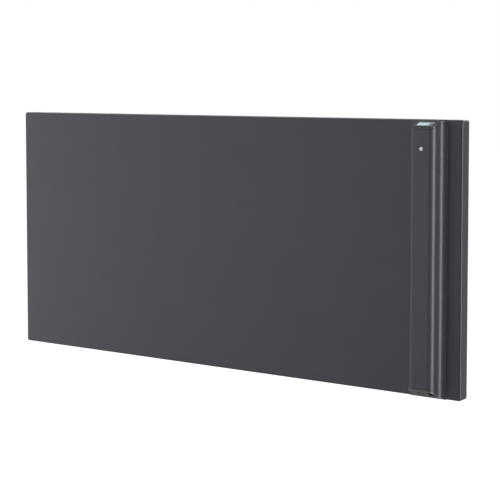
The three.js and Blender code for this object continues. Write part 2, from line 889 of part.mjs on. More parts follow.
// The outer outline's foot ends in its lip, and the hollow's runs out where it meets the face
function columnShape(inset, back) {
  const footCentre = columnHalfWidth + footBendRadius;
  const footCentreOut = footLip + footBendRadius;
  const footRadius = footBendRadius + inset;
  const bendRadius = columnBendRadius - inset;
  const bendOut = columnDepth - columnBendRadius;
  const quarter = Math.PI / 2;
  const footStart = Math.acos(Math.min(1, footCentreOut / footRadius));
  const half = [[footCentre - footRadius * Math.sin(footStart), -back]];
  for (let step = 0; step <= bendSteps; step += 1) {
    const angle = footStart + ((quarter - footStart) * step) / bendSteps;
    half.push([footCentre - footRadius * Math.sin(angle), footCentreOut - footRadius * Math.cos(angle)]);
  }
  for (let step = 0; step <= bendSteps; step += 1) {
    const angle = (quarter * step) / bendSteps;
    half.push([columnHalfFlat + bendRadius * Math.cos(angle), bendOut + bendRadius * Math.sin(angle)]);
  }
  const outline = [...half, ...half.toReversed().map(([across, out]) => [-across, out])];
  return polygon(outline.map(([across, out]) => [columnX + across, faceY - out]));
}

function columnPrism(inset, back) {
  return alongZ(columnShape(inset, back), [-panelHeight, panelHeight]);
}

function slopeReach() {
  return [-panelHeight, panelHeight];
}

function columnCover() {
  const seam = capThickness + gap;
  const hollow = columnPrism(columnWall, cutOverrun);
  const above = boxIn(topFrame, slopeReach(), slopeReach(), [-seam, panelHeight]);
  const below = boxIn(bottomFrame, slopeReach(), slopeReach(), [-panelHeight, seam]);
  const lensHoleY = [columnFrontY - cutOverrun, columnFrontY + cutOverrun];
  const lensHole = rod(lensRadius + gap, lensHoleY, mediumSides, "y");
  const whole = columnPrism(0, cutOverrun).intersect(layer([columnFrontY, faceY]));
  return cut(whole, [hollow, above, below, lensHole.translate(columnX, 0, indicatorZ)]);
}

function columnTongues(frame, [y0, y1], z) {
  const inside = innerHalfWidth - gap - tongueThickness;
  const outside = innerHalfWidth - gap;
  return [boxIn(frame, [-outside, -inside], [y0, y1], z), boxIn(frame, [inside, outside], [y0, y1], z)];
}

function windowSpan() {
  return [windowStart, windowStart + windowHeight];
}

function buttonSpan() {
  return [buttonStart, buttonStart + buttonHeight];
}

function widened([low, high], by) {
  return [low - by, high + by];
}

function buttonOffsets() {
  return [-buttonPitch, 0, buttonPitch];
}

function topCap() {
  const plate = boxIn(topFrame, slopeReach(), slopeReach(), [-capThickness, 0]);
  const y = [topTongueStart, topTongueStart + topTongueWidth];
  const tongues = columnTongues(topFrame, y, [-capThickness - tongueLength, -capThickness / 2]);
  const below = box([0, panelWidth], [-panelWidth, 0], [0, halfHeight]);
  const body = columnPrism(0, capLipReach).intersect(plate).intersect(below).add(joined(tongues));
  const pocketX = widened(around(0, windowWidth), gap);
  const pocket = boxIn(topFrame, pocketX, widened(windowSpan(), gap), [-windowThickness - gap, cutOverrun]);
  const lightX = widened(around(0, windowWidth), -windowLedge);
  const throughZ = [-capThickness - gap, cutOverrun];
  const light = boxIn(topFrame, lightX, widened(windowSpan(), -windowLedge), throughZ);
  const buttons = buttonOffsets().map((offset) => {
    const x = widened(around(offset, buttonWidth), gap);
    return boxIn(topFrame, x, widened(buttonSpan(), gap), throughZ);
  });
  return cut(body, [panelOutside(gap), pocket, light, ...buttons]);
}

function rockerMiddle() {
  return rockerStart + rockerLength / 2;
}

function rockerOpening(z) {
  const x = widened(around(rockerOffset, rockerWidth), gap);
  return [x, widened(around(rockerMiddle(), rockerLength), rockerClearance), z];
}

function bottomCap() {
  const plate = boxIn(bottomFrame, slopeReach(), slopeReach(), [0, capThickness]);
  const y = [bottomTongueStart, bottomTongueStart + bottomTongueWidth];
  const tongues = columnTongues(bottomFrame, y, [capThickness / 2, capThickness + tongueLength]);
  const above = box([0, panelWidth], [-panelWidth, 0], [-halfHeight, 0]);
  const body = columnPrism(0, capLipReach).intersect(plate).intersect(above).add(joined(tongues));
  const holePlaces = [[frontHoleOffset, frontHoleStart], [rearHoleOffset, rearHoleStart]];
  const holes = holePlaces.map(([offset, start]) => {
    const hole = rod(airHoleRadius, [-cutOverrun, capThickness + cutOverrun], smallSides, "z");
    return moved(hole, bottomFrame, [offset, start, 0]);
  });
  const rocker = boxIn(bottomFrame, ...rockerOpening([-cutOverrun, capThickness + gap]));
  return cut(body, [panelOutside(gap), rocker, ...holes]);
}

// A solid made at a frame's origin, shifted there and then carried into the part's own frame
function moved(body, frame, shift) {
  return body.translate(...shift).transform(frame.toArray());
}

// Display and buttons, built in the slanted top's own frame

function displayWindow() {
  return box(around(0, windowWidth), windowSpan(), [-windowThickness, 0]);
}

function displayModule() {
  const top = -capThickness - gap;
  const y = [moduleStart, moduleStart + moduleHeight];
  return box(around(0, moduleWidth), y, [top - moduleThickness, top]);
}

function displayBoardTop() {
  return -capThickness - 2 * gap - moduleThickness;
}

// The board carries three soldered switches, one under each button
function displayBoard() {
  const top = displayBoardTop();
  const y = [displayBoardStart, displayBoardStart + displayBoardHeight];
  const plate = box(around(0, displayBoardWidth), y, [top - displayBoardThickness, top]);
  const middle = buttonStart + buttonHeight / 2;
  const stemTop = -capThickness - buttonFlangeThickness - buttonTravel - 2 * gap;
  const bodyZ = [top, top + tactBodyThickness];
  const switches = buttonOffsets().map((offset) => {
    const body = box(around(offset, tactBodyWidth), around(middle, tactBodyHeight), bodyZ);
    return body.add(rod(tactStemRadius, [top, stemTop], smallSides, "z").translate(offset, middle, 0));
  });
  return plate.add(joined(switches));
}

function button(offset) {
  const under = -capThickness - gap;
  const top = box(around(offset, buttonWidth), buttonSpan(), [under - buttonFlangeThickness, buttonProud]);
  const flangeX = widened(around(offset, buttonWidth), buttonFlange);
  return top.add(box(flangeX, widened(buttonSpan(), buttonFlange), [under - buttonFlangeThickness, under]));
}

// Indicator lens and the light behind it

function indicatorLens() {
  const frontY = columnFrontY - lensProud;
  const flangeFrontY = columnFrontY + columnWall + gap;
  const flangeBackY = flangeFrontY + lensFlangeThickness;
  const stemEndY = boardFrontY - 2 * gap - ledThickness;
  const profile = [
    [0, frontY],
    [lensRadius - lensProud, frontY],
    [lensRadius, columnFrontY],
    [lensRadius, flangeFrontY],
    [lensRadius + lensFlange, flangeFrontY],
    [lensRadius + lensFlange, flangeBackY],
    [lensStemRadius, flangeBackY],
    [lensStemRadius, stemEndY],
    [0, stemEndY],
  ];
  return turned(profile, mediumSides, "y").translate(columnX, 0, indicatorZ);
}

function indicatorLed() {
  const backY = boardFrontY - gap;
  return box(around(columnX, ledWidth), [backY - ledThickness, backY], around(indicatorZ, ledHeight));
}

// Carrier, power board and what stands on it

function wireWindow(inset) {
  const x = around(columnX, wireWindowWidth - 2 * inset);
  const z = around(wireWindowZ, wireWindowHeight - 2 * inset);
  return box(x, [carrierFrontY - cutOverrun, faceInsideY + cutOverrun], z);
}

function boardPostPlaces() {
  const x = boardWidth / 2 - boardPinInset;
  const heights = [boardTopZ - boardPinInset, boardBottomZ + boardPinInset];
  return heights.flatMap((z) => [[columnX - x, z], [columnX + x, z]]);
}

function carrierScrewPlaces() {
  return [(boardTopZ + boardBottomZ) / 2, (carrierBottomZ + wireWindowZ) / 2].map((z) => [columnX, z]);
}

function carrierScrewHoles() {
  const y = [carrierFrontY - cutOverrun, faceInsideY + cutOverrun];
  return carrierScrewPlaces().map(([x, z]) => {
    return rod(carrierScrewRadius + shankGap, y, smallSides, "y").translate(x, 0, z);
  });
}

function carrierScrew([x, z]) {
  const headY = carrierFrontY - carrierScrewHeadHeight;
  const profile = [
    [0, headY],
    [carrierScrewHeadRadius - carrierScrewHeadHeight / 2, headY],
    [carrierScrewHeadRadius, (headY + carrierFrontY) / 2],
    [carrierScrewHeadRadius, carrierFrontY],
    [carrierScrewRadius, carrierFrontY],
    [carrierScrewRadius, carrierFrontY + carrierScrewReach],
    [0, carrierFrontY + carrierScrewReach],
  ];
  return turned(profile, smallSides, "y").translate(x, 0, z);
}

function electronicsCarrier() {
  const z = [carrierBottomZ, carrierTopZ];
  const outer = [columnX - carrierHalfWidth, columnX + carrierHalfWidth];
  const inner = widened(outer, -carrierWall);
  const whole = box(outer, [faceY - carrierWallHeight, faceY], z);
  const hollowY = [faceY - carrierWallHeight - cutOverrun, carrierFrontY];
  const hollow = box(inner, hollowY, widened(z, cutOverrun));
  const posts = boardPostPlaces().map(([x, height]) => boardPost().translate(x, 0, height));
  return cut(whole.subtract(hollow).add(joined(posts)), [wireWindow(0), ...carrierScrewHoles()]);
}

// A post that the board lies on, with a pin through the board and a snap head over it
function boardPost() {
  const headY = boardFrontY - gap;
  const tipY = headY - boardPinHeadHeight;
  const shoulderY = carrierFrontY - postHeight;
  const profile = [
    [0, tipY],
    [boardPinRadius, tipY],
    [boardPinHeadRadius, headY],
    [boardPinRadius, headY],
    [boardPinRadius, shoulderY],
    [postRadius, shoulderY],
    [postRadius, (faceY + carrierFrontY) / 2],
    [0, (faceY + carrierFrontY) / 2],
  ];
  return turned(profile, smallSides, "y");
}

function powerBoard() {
  const plate = box(around(columnX, boardWidth), [boardFrontY, boardBackY], [boardBottomZ, boardTopZ]);
  const holes = boardPostPlaces().map(([x, z]) => {
    const y = [boardFrontY - cutOverrun, boardBackY + cutOverrun];
    return rod(boardPinRadius + shankGap, y, smallSides, "y").translate(x, 0, z);
  });
  return cut(plate, holes);
}

// A block that stands on the power board
function onBoard(width, length, height, top) {
  return box(around(columnX, width), [boardFrontY - gap - height, boardFrontY - gap], [top - length, top]);
}

function capacitor() {
  const body = rod(capacitorRadius, [capacitorTopZ - capacitorLength, capacitorTopZ], mediumSides, "z");
  return body.translate(columnX, boardFrontY - gap - capacitorRadius, 0);
}

function connectorPortY() {
  return boardFrontY - gap - connectorHeight / 2;
}

function connectorPortShifts() {
  const first = ((connectorPortCount - 1) * connectorPortPitch) / 2;
  return Array.from({ length: connectorPortCount }, (_, index) => index * connectorPortPitch - first);
}

function boardConnector() {
  const portZ = [connectorPortZ - cutOverrun, connectorPortZ + connectorPortDepth];
  const ports = connectorPortShifts().map((shift) => {
    return rod(connectorPortRadius, portZ, smallSides, "z").translate(columnX + shift, connectorPortY(), 0);
  });
  return cut(onBoard(connectorWidth, connectorLength, connectorHeight, connectorTopZ), ports);
}

function wireGrommet() {
  const y = [carrierFrontY - gap, faceInsideY + gap + grommetWall];
  const x = around(columnX, wireWindowWidth - 2 * gap);
  const z = around(wireWindowZ, wireWindowHeight - 2 * gap);
  const flangeY = [faceInsideY + gap, faceInsideY + gap + grommetWall];
  const flange = box(widened(x, grommetFlange), flangeY, widened(z, grommetFlange));
  return box(x, y, z).add(flange).subtract(wireWindow(gap + grommetWall));
}

// Mains switch and room sensor, built in the slanted underside's own frame

function mainsSwitchBody() {
  const [x, y] = rockerOpening([]);
  const low = capThickness + gap;
  const body = box(widened(x, switchWall), widened(y, switchWall), [low, low + switchDepth]);
  const pocket = box(x, y, [low - cutOverrun, low + switchPocketDepth]);
  const bearing = rod(rockerPivotRadius + gap, around(0, 2 * cutOverrun), smallSides, "x");
  const bearingSlot = bearing.translate(rockerOffset, rockerMiddle(), rockerPivotDepth);
  const pinZ = [low + switchDepth, low + switchDepth + switchWall];
  const terminals = [-1, 1].map((side) => {
    const pin = rod(switchTerminalRadius, pinZ, smallSides, "z");
    return pin.translate(rockerOffset, rockerMiddle() + (side * rockerLength) / 4, 0);
  });
  return cut(body, [pocket, bearingSlot]).add(joined(terminals));
}

function mainsRocker() {
  const half = rockerLength / 2;
  const outline = [
    [-half, -rockerHeight],
    [0, rockerDish - rockerHeight],
    [half, -rockerHeight],
    [half / 2, rockerKeel],
    [-half / 2, rockerKeel],
  ];
  const paddle = alongX(polygon(outline.toReversed()), around(0, rockerWidth));
  const pivot = rod(rockerPivotRadius, around(0, rockerWidth + 2 * rockerPivotReach), smallSides, "x");
  const tilted = paddle.add(pivot).rotate([rockerTilt, 0, 0]);
  return tilted.translate(rockerOffset, rockerMiddle(), rockerPivotDepth);
}

function roomSensor() {
  const low = capThickness + gap;
  const profile = [
    [0, low],
    [sensorRadius, low],
    [sensorRadius, low + sensorLength - sensorRadius],
    [sensorRadius / 2, low + sensorLength],
    [0, low + sensorLength],
  ];
  const probe = moved(turned(profile, smallSides), bottomFrame, [frontHoleOffset, sensorStart, 0]);
  return probe.add(roomSensorLead());
}

// Wall bracket with its latches, and the buffers

function bracketRail(side) {
  const z = [railBottomZ, railTopZ];
  const outer = [-railHalf, railHalf];
  const whole = box(outer, [bracketFaceY, 0], z);
  const hollowY = [bracketFaceY - cutOverrun, -railSheet];
  const hollow = box(widened(outer, -railSheet), hollowY, widened(z, cutOverrun));
  const bridge = box(outer, [bracketFaceY, bracketFaceY + railSheet], [railTopZ - bridgeHeight, railTopZ]);
  const screwSlots = [railTopZ - upperHoleInset, railBottomZ + lowerHoleInset].map((height) => {
    const shape = slotShape(0, height, wallHoleSlot, 2 * wallHoleRadius, true);
    return alongY(shape, [-railSheet - cutOverrun, cutOverrun]);
  });
  const pivotHole = rod(pivotRadius + shankGap, [bracketFaceY - cutOverrun, -railSheet], smallSides, "y");
  const cutters = [barNotch(), ...screwSlots, rivetHole(), pivotHole.translate(0, 0, latchZ)];
  const rail = cut(whole.subtract(hollow).add(joined([bridge, ...railHooks()])), cutters);
  const placed = rail.translate(railX, 0, 0);
  return side > 0 ? placed : placed.mirror([1, 0, 0]);
}

// The notch in the flange that faces the cross bar, for the bar's joggled end
function barNotch() {
  const x = [-railHalf - cutOverrun, railSheet - railHalf + gap];
  const y = [-railSheet - crossBarSheet - 3 * gap, cutOverrun];
  return box(x, y, widened(around(0, crossBarHeight), gap));
}

function railHooks() {
  const tipY = boxInsideY - 2 * gap - railSheet;
  const outline = polygon([
    [bracketFaceY + railSheet, hookZ - hookTongue],
    [tipY, hookZ - hookTongue],
    [tipY, hookZ + hookLip],
    [tipY + railSheet, hookZ + hookLip],
    [tipY + railSheet, hookZ],
    [bracketFaceY + railSheet, hookZ],
  ]);
  const inner = railHalf - railSheet / 2;
  return [-inner, inner].map((x) => alongX(outline, around(x, railSheet)));
}

function rivetHole() {
  return rod(rivetRadius + shankGap, [-railSheet - crossBarSheet - cutOverrun, cutOverrun], smallSides, "y");
}

function crossBar() {
  const flatEnd = railX - railHalf - gap;
  const tabBackY = -railSheet - gap;
  const bendStart = flatEnd - crossBarJoggle;
  const tabEnd = railX + crossBarTab / 2;
  const upper = [[0, 0], [bendStart, 0], [flatEnd, tabBackY], [tabEnd, tabBackY]];
  const half = [...upper, ...upper.toReversed().map(([x, y]) => [x, y - crossBarSheet])];
  const right = alongZ(polygon(half), around(0, crossBarHeight));
  const holes = [-railX, railX].map((x) => rivetHole().translate(x, 0, 0));
  return cut(right.add(right.mirror([1, 0, 0])), holes);
}

function bracketRivet(side) {
  const headBackY = -railSheet - crossBarSheet - gap;
  const profile = [
    [0, headBackY - rivetHeadHeight],
    [rivetHeadRadius / 2, headBackY - rivetHeadHeight],
    [rivetHeadRadius, headBackY],
    [rivetRadius, headBackY],
    [rivetRadius, -gap],
    [0, -gap],
  ];
  return turned(profile, smallSides, "y").translate(side * railX, 0, 0);
}

function latch(side) {
  const half = latchWidth / 2;
  const nose = slotShape(0, (latchTab - latchNose) / 2, latchTab + latchNose, latchWidth, true);
  const plate = alongY(nose, [latchFrontY, latchBackY]);
  const head = box([-half, half], [latchFrontY, latchBackY], [0, latchTab]);
  const lipY = [latchFrontY - latchTabLip, latchFrontY];
  const lip = box([-half, half], lipY, [latchTab - latchPlate / 2, latchTab]);
  const hub = rod(latchHubRadius, [latchBackY, latchHubY], mediumSides, "y");
  const holeY = [latchFrontY - cutOverrun, latchHubY + cutOverrun];
  const hole = rod(pivotRadius + shankGap, holeY, smallSides, "y");
  const body = joined([plate, head, lip, hub]).subtract(hole);
  return body.translate(side * railX, 0, latchZ);
}

function latchPivot(side) {
  const headBackY = latchFrontY - gap;
  const tailY = bracketFaceY + railSheet + gap;
  const profile = [
    [0, headBackY - pivotHeadHeight],
    [pivotHeadRadius / 2, headBackY - pivotHeadHeight],
    [pivotHeadRadius, headBackY],
    [pivotRadius, headBackY],
    [pivotRadius, tailY],
    [pivotHeadRadius, tailY],
    [pivotHeadRadius, tailY + pivotHeadHeight],
    [0, tailY + pivotHeadHeight],
  ];
  return turned(profile, smallSides, "y").translate(side * railX, 0, latchZ);
}

function bufferHoles() {
  const y = [boxInsideY - cutOverrun, boxBackY + cutOverrun];
  return [-bufferX, bufferX].map((x) => {
    return rod(bufferStemRadius + shankGap, y, smallSides, "y").translate(x, 0, bufferZ);
  });
}

function buffer(side) {
  const headY = boxInsideY - gap;
  const profile = [
    [0, headY - bufferHeadThickness],
    [bufferStemRadius, headY - bufferHeadThickness],
    [bufferHeadRadius, headY],
    [bufferStemRadius, headY],
    [bufferStemRadius, boxBackY],
    [bufferRadius, boxBackY],
    [bufferRadius, -bufferRadius / 4],
    [bufferRadius - bufferRadius / 4, 0],
    [0, 0],
  ];
  return turned(profile, mediumSides, "y").translate(side * bufferX, 0, bufferZ);
}

// Wires: round, with straight ends that stop just short of what they plug into

function wire(points, radius, steps) {
  const places = points.map((point) => new THREE.Vector3(...point));
  const extrudePath = new THREE.CatmullRomCurve3(places, false, "centripetal");
  const section = new THREE.Shape().absarc(0, 0, radius, 0, 2 * Math.PI);
  const options = { steps, curveSegments: wireSides / 2, bevelEnabled: false, extrudePath };
  return solid(new THREE.ExtrudeGeometry(section, options));
}

// A stretch of a wire's route, measured from a place
function from([x, y, z], points) {
  return points.map(([dx, dy, dz]) => [x + dx, y + dy, z + dz]);
}

// A wire's ends go straight in and out; its route between them comes from the lists above
function routed(start, route, end, radius) {
  return wire([...start, ...route, ...end.toReversed()], radius, route.length * stepsPerPoint);
}

// The last stretch before a place, along a direction: first the far point, then the near one
function straightEnd([x, y, z], [dx, dy, dz], from) {
  return [from, from + wireStraight].map((by) => [x + dx * by, y + dy * by, z + dz * by]);
}

function terminalEnd(index, way) {
  const faceZ = way > 0 ? terminalTopZ : terminalTopZ - terminalHeight;
  const place = [terminalPortPlaces()[index], terminalPortY, faceZ];
  return straightEnd(place, [0, 0, way], gap - terminalPortDepth);
}

function connectorEnd(index) {
  const place = [columnX + connectorPortShifts()[index], connectorPortY(), connectorPortZ];
  return straightEnd(place, [0, 0, -1], gap - connectorPortDepth);
}

function switchEnd(side) {
  const inward = new THREE.Vector3(0, 0, 1).transformDirection(bottomFrame);
  const height = capThickness + gap + switchDepth + switchWall;
  const place = new THREE.Vector3(rockerOffset, rockerMiddle() + (side * rockerLength) / 4, height);
  return straightEnd(place.applyMatrix4(bottomFrame).toArray(), inward.toArray(), gap);
}

function cutoutEnd(side) {
  const x = cutoutX + (side * cutoutTerminalSpacing) / 2;
  return straightEnd([x, elementY, shelfZ + cutoutTerminalLength], [0, 0, 1], gap);
}

function studEnd(side) {
  return straightEnd([side * studX, elementY, elementZ], [side, 0, 0], gap);
}

function roomSensorLead() {
  const place = new THREE.Vector3(frontHoleOffset, sensorStart, capThickness + gap + sensorLength);
  const [x, y, z] = place.applyMatrix4(bottomFrame).toArray();
  const inward = new THREE.Vector3(0, 0, 1).transformDirection(bottomFrame).toArray();
  const start = straightEnd([x, y, z], inward, -sensorRadius / 2);
  return routed(start, from(windowPlace, sensorFromWindow), connectorEnd(0), signalWireRadius);
}

// Places that the wires' routes are measured from
const windowPlace = [columnX, faceY, wireWindowZ];
const terminalPlace = [terminalX, terminalPortY, terminalTopZ];
const shelfPlace = [cutoutX, elementY, shelfZ];

function wireLive() {
  const route = [...from(terminalPlace, liveFromTerminal), ...from(windowPlace, liveFromWindow)];
  return routed(terminalEnd(2, 1), route, switchEnd(1), mainsWireRadius);
}

function wireSwitchedLive() {
  return routed(switchEnd(-1), from(windowPlace, switchedFromWindow), connectorEnd(3), mainsWireRadius);
}

function wireNeutral() {
  const route = [...from(terminalPlace, neutralFromTerminal), ...from(windowPlace, neutralFromWindow)];
  return routed(terminalEnd(1, 1), route, connectorEnd(1), mainsWireRadius);
}

function wireElementFeed() {
  const route = [...from(windowPlace, feedFromWindow), ...from(shelfPlace, feedFromCutout)];
  return routed(connectorEnd(2), route, cutoutEnd(-1), mainsWireRadius);
}

function wireCutoutLink() {
  const route = [...from(shelfPlace, linkFromCutout), ...from([studX, elementY, elementZ], linkFromStud)];
  return routed(cutoutEnd(1), route, studEnd(1), mainsWireRadius);
}

function wireElementReturn() {
  const route = [
    ...from([-studX, elementY, elementZ], returnFromStud),
    ...from([-boxHalfWidth, boxBackY, -boxHalfHeight], returnFromLeftCorner),
    ...from([boxHalfWidth, boxBackY, -boxHalfHeight], returnFromRightCorner),
    ...from(terminalPlace, returnFromTerminal),
  ];
  return routed(studEnd(-1), route, terminalEnd(1, -1), mainsWireRadius);
}

function displayRibbon() {
  const topZ = capThickness + 2 * gap + moduleThickness + displayBoardThickness + gap;
  const place = new THREE.Vector3(ribbonOffset, moduleStart + moduleHeight / 2, -topZ);
  place.applyMatrix4(topFrame);
  const endY = boardFrontY - gap - ribbonThickness / 2;
  const points = [
    [place.x, place.y, place.z],
    [place.x, place.y, (place.z + carrierTopZ) / 2],
    [place.x, endY - ribbonBulge, carrierTopZ - ribbonLanding / 2],
    [place.x, endY, carrierTopZ - 2 * ribbonLanding],
    [place.x, endY, carrierTopZ - 3 * ribbonLanding],
  ];
  const extrudePath = new THREE.CatmullRomCurve3(points.map((point) => new THREE.Vector3(...point)));
  const section = roundedRectangle(around(0, ribbonWidth), around(0, ribbonThickness), ribbonThickness / 3);
  const steps = stepsPerPoint * points.length;
  const options = { steps, curveSegments: slotSteps, bevelEnabled: false, extrudePath };
  return solid(new THREE.ExtrudeGeometry(section, options));
}

add("front_panel", frontPanel(), coat);
add("rear_shell", rearShell(), zinc);
rimScrewPlaces().forEach((place, index) => add(`rear_screw_${index + 1}`, rimScrew(place), steel));
add("heat_shield", heatShield(), aluminium);
add("element_fins", elementFins(), aluminium);
add("element_core", elementCore(), steel);
for (const [side, word] of [[-1, "left"], [1, "right"]]) {
  add(`element_bush_${word}`, elementBush(side), ceramic);
  add(`element_bracket_${word}`, elementBracket(side), zinc);
  add(`bracket_rail_${word}`, bracketRail(side), zinc);
  add(`latch_${word}`, latch(side), greyPlastic);
  add(`latch_pivot_${word}`, latchPivot(side), steel);
  add(`buffer_${word}`, buffer(side), rubber);
  add(`bracket_rivet_${word}`, bracketRivet(side), steel);
}
add("bracket_cross_bar", crossBar(), zinc);
add("overheat_cutout", overheatCutout(), blackPlastic);
add("cutout_bracket", cutoutBracket(), zinc);
add("terminal_block", terminalBlock(), palePlastic);
add("cable_gland", cableGland(), blackPlastic);
add("gland_nut", glandNut(), blackPlastic);
add("gland_locknut", glandLocknut(), blackPlastic);
add("wire_grommet", wireGrommet(), rubber);

add("column_cover", columnCover(), columnCoat);
add("column_top_cap", topCap(), columnCoat);
add("column_bottom_cap", bottomCap(), columnCoat);
add("electronics_carrier", electronicsCarrier(), blackPlastic);
carrierScrewPlaces().forEach((place, index) => {
  add(["carrier_screw_upper", "carrier_screw_lower"][index], carrierScrew(place), steel);
});
add("power_board", powerBoard(), boardGreen);
add("relay", onBoard(relayWidth, relayLength, relayHeight, relayTopZ), blueCoat);
const moduleBlock = onBoard(moduleBlockWidth, moduleBlockLength, moduleBlockHeight, moduleBlockTopZ);
add("power_module", moduleBlock, blackPlastic);
add("capacitor", capacitor(), blackPlastic);
add("board_connector", boardConnector(), palePlastic);
add("indicator_lens", indicatorLens(), clearLens);
add("indicator_led", indicatorLed(), palePlastic);

add("display_window", displayWindow(), smokedGlass, topGroup);
add("display_module", displayModule(), litGlass, topGroup);
add("display_board", displayBoard(), boardGreen, topGroup);
buttonOffsets().forEach((offset, index) => {
  add(["button_minus", "button_menu", "button_plus"][index], button(offset), blackPlastic, topGroup);
});

add("mains_switch_body", mainsSwitchBody(), blackPlastic, bottomGroup);
add("mains_rocker", mainsRocker(), blackPlastic, bottomGroup);

add("room_sensor", roomSensor(), blackPlastic);
add("wire_live", wireLive(), brownWire);
add("wire_switched_live", wireSwitchedLive(), brownWire);
add("wire_neutral", wireNeutral(), blueCoat);
add("wire_element_feed", wireElementFeed(), brownWire);
add("wire_cutout_link", wireCutoutLink(), brownWire);
add("wire_element_return", wireElementReturn(), blueCoat);
add("display_ribbon", displayRibbon(), palePlastic);

export default heater;
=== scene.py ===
# Panel heater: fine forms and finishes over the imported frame, with its camera, floor and lights.
# Metres, in the frame's own axes: X to the right, Y into the wall, Z up.
import json
import math

import bmesh
import bpy
from mathutils import Matrix, Vector


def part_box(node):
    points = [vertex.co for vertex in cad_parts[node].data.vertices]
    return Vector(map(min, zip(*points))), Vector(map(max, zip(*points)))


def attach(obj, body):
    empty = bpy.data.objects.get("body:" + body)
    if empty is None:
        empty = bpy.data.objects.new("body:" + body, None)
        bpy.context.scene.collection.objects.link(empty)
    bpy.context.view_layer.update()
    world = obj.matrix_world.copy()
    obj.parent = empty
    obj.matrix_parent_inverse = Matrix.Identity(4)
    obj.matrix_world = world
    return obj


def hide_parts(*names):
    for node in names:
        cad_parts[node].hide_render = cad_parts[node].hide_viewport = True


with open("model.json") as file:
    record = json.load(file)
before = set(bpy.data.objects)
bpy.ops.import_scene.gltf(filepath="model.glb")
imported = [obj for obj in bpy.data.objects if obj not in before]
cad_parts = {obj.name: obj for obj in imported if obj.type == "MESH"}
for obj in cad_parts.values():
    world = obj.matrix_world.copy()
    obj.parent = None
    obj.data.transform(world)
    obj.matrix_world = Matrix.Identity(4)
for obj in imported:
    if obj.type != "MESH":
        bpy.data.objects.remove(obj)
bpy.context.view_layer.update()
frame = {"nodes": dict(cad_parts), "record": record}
nodes = frame["nodes"]
scene = bpy.context.scene

# Sizes that several pieces share. A hair stands for nought where a form needs some size. A film is how
# far the linings of painted shade stand proud of the slope. Cutting tools reach past the surface they cut.
GAP = 0.0003
SHEET = 0.0012
HAIR = 0.00001
FILM = 0.00004
TOOL_REACH = 0.006
COARSE_STEPS = 6
BEND_STEPS = 14
ROUND_STEPS = 8
HOLE_STEPS = 24
FINE_STEPS = 40
SHARP_ANGLE = math.radians(38)

# Front panel: its bends and corners, its rear flange and its openings. The tray's inside leans out a
# little from the front bend to the flange.
EDGE = 0.003
CORNER = 0.0036
LEAST_CORNER = 0.0004
FLANGE = 0.014
FOLD = 0.0014
INNER_LEAN = 0.0004
WIRE_WINDOW_HALF_WIDTH = 0.009
WIRE_WINDOW_HALF_HEIGHT = 0.018
REAR_SCREWS = [f"rear_screw_{index}" for index in range(1, 5)]
REAR_SCREW_HOLE = 0.002
CARRIER_SCREW_HOLE = 0.0019

# Control column: its section and wall, its two slopes and the caps on them. The cover ends a seam away
# from each slope. A cap reaches a lip into the panel's face, where it is then cut to fit.
COLUMN_BEND = 0.008
COLUMN_HALF_FLAT = 0.0107
FOOT_BEND = 0.008
FOOT_LIP = 0.0006
COVER_WALL = 0.0015
COVER_EDGE = 0.0003
TOP_FRONT_Z = 0.1754
TOP_RISE = 0.0096
BOTTOM_FRONT_Z = -0.1725
BOTTOM_FALL = 0.0125
SEAM = 0.0025
CAP = 0.0022
CAP_LIP = 0.0012
CAP_EDGE = 0.00025
SLOPE_COSINE = 0.95
TONGUE = 0.005
TOP_TONGUE_ALONG = (0.009, 0.02)
BOTTOM_TONGUE_ALONG = (0.0186, 0.0216)
TRIM_REACH = 0.05

# Display, on the top slope: across from the column's middle, along from the slope's front edge
WINDOW_WIDTH = 0.0244
WINDOW_NEAR = 0.0062
WINDOW_FAR = 0.0198
WINDOW_SEAT = 0.0015
WINDOW_SIDE_LEDGE = 0.0015
WINDOW_END_LEDGE = 0.0012
GLASS = 0.0012
DISPLAY_EDGE = 0.0002
BORDER_FRONT = -0.00125
BORDER_BACK = -0.0014
PRINT = 0.00002
SCREEN_LEFT = -0.0107
SCREEN_RIGHT = 0.0062
SCREEN_NEAR = WINDOW_NEAR + 0.0012
SCREEN_FAR = WINDOW_FAR - 0.0034
SCREEN_RUN = 0.025
DIGITS = (("2", -0.0085), ("1", -0.0028))
DIGIT_NEAR = WINDOW_NEAR + 0.0019
DIGIT_WIDTH = 0.0044
DIGIT_HEIGHT = 0.0068
DIGIT_BAR = 0.0009
DIGIT_GAP_SHARE = 0.25
DEGREE_LEFT = 0.0034
DEGREE_NEAR = WINDOW_NEAR + 0.0069
DEGREE_SIZE = 0.0018
DEGREE_BAR = 0.0003
MODULE_HALF_WIDTH = 0.013
MODULE_NEAR = 0.0059
MODULE_FAR = 0.0203
MODULE_THICKNESS = 0.003

# Buttons, on the top slope in front of the display, and their marks: arms and half widths of the bars
BUTTON_PLACES = {"button_minus": -0.008, "button_menu": 0, "button_plus": 0.008}
BUTTON_WIDTH = 0.005
BUTTON_NEAR = 0.002
BUTTON_FAR = 0.0048
BUTTON_PROUD = 0.0007
BUTTON_FLANGE = 0.0006
BUTTON_FLANGE_THICKNESS = 0.0009
BUTTON_EDGE = 0.0003
MARK_ARM = 0.0011
MARK_HALF = 0.0002
MENU_ARM = 0.0009
MENU_HALF = 0.00013
MENU_SPACING = 0.0007
MARK_SUNK = 0.00002
MARK_PROUD = 0.00003

# Indicator lens, on the column's front
INDICATOR_Z = 0.1473
LENS_HOLE = 0.0027
LENS_RADIUS = 0.0024
LENS_FLANGE = 0.0012
LENS_FLANGE_THICKNESS = 0.001
LENS_STEM = 0.0015
LENS_STEPS = 64

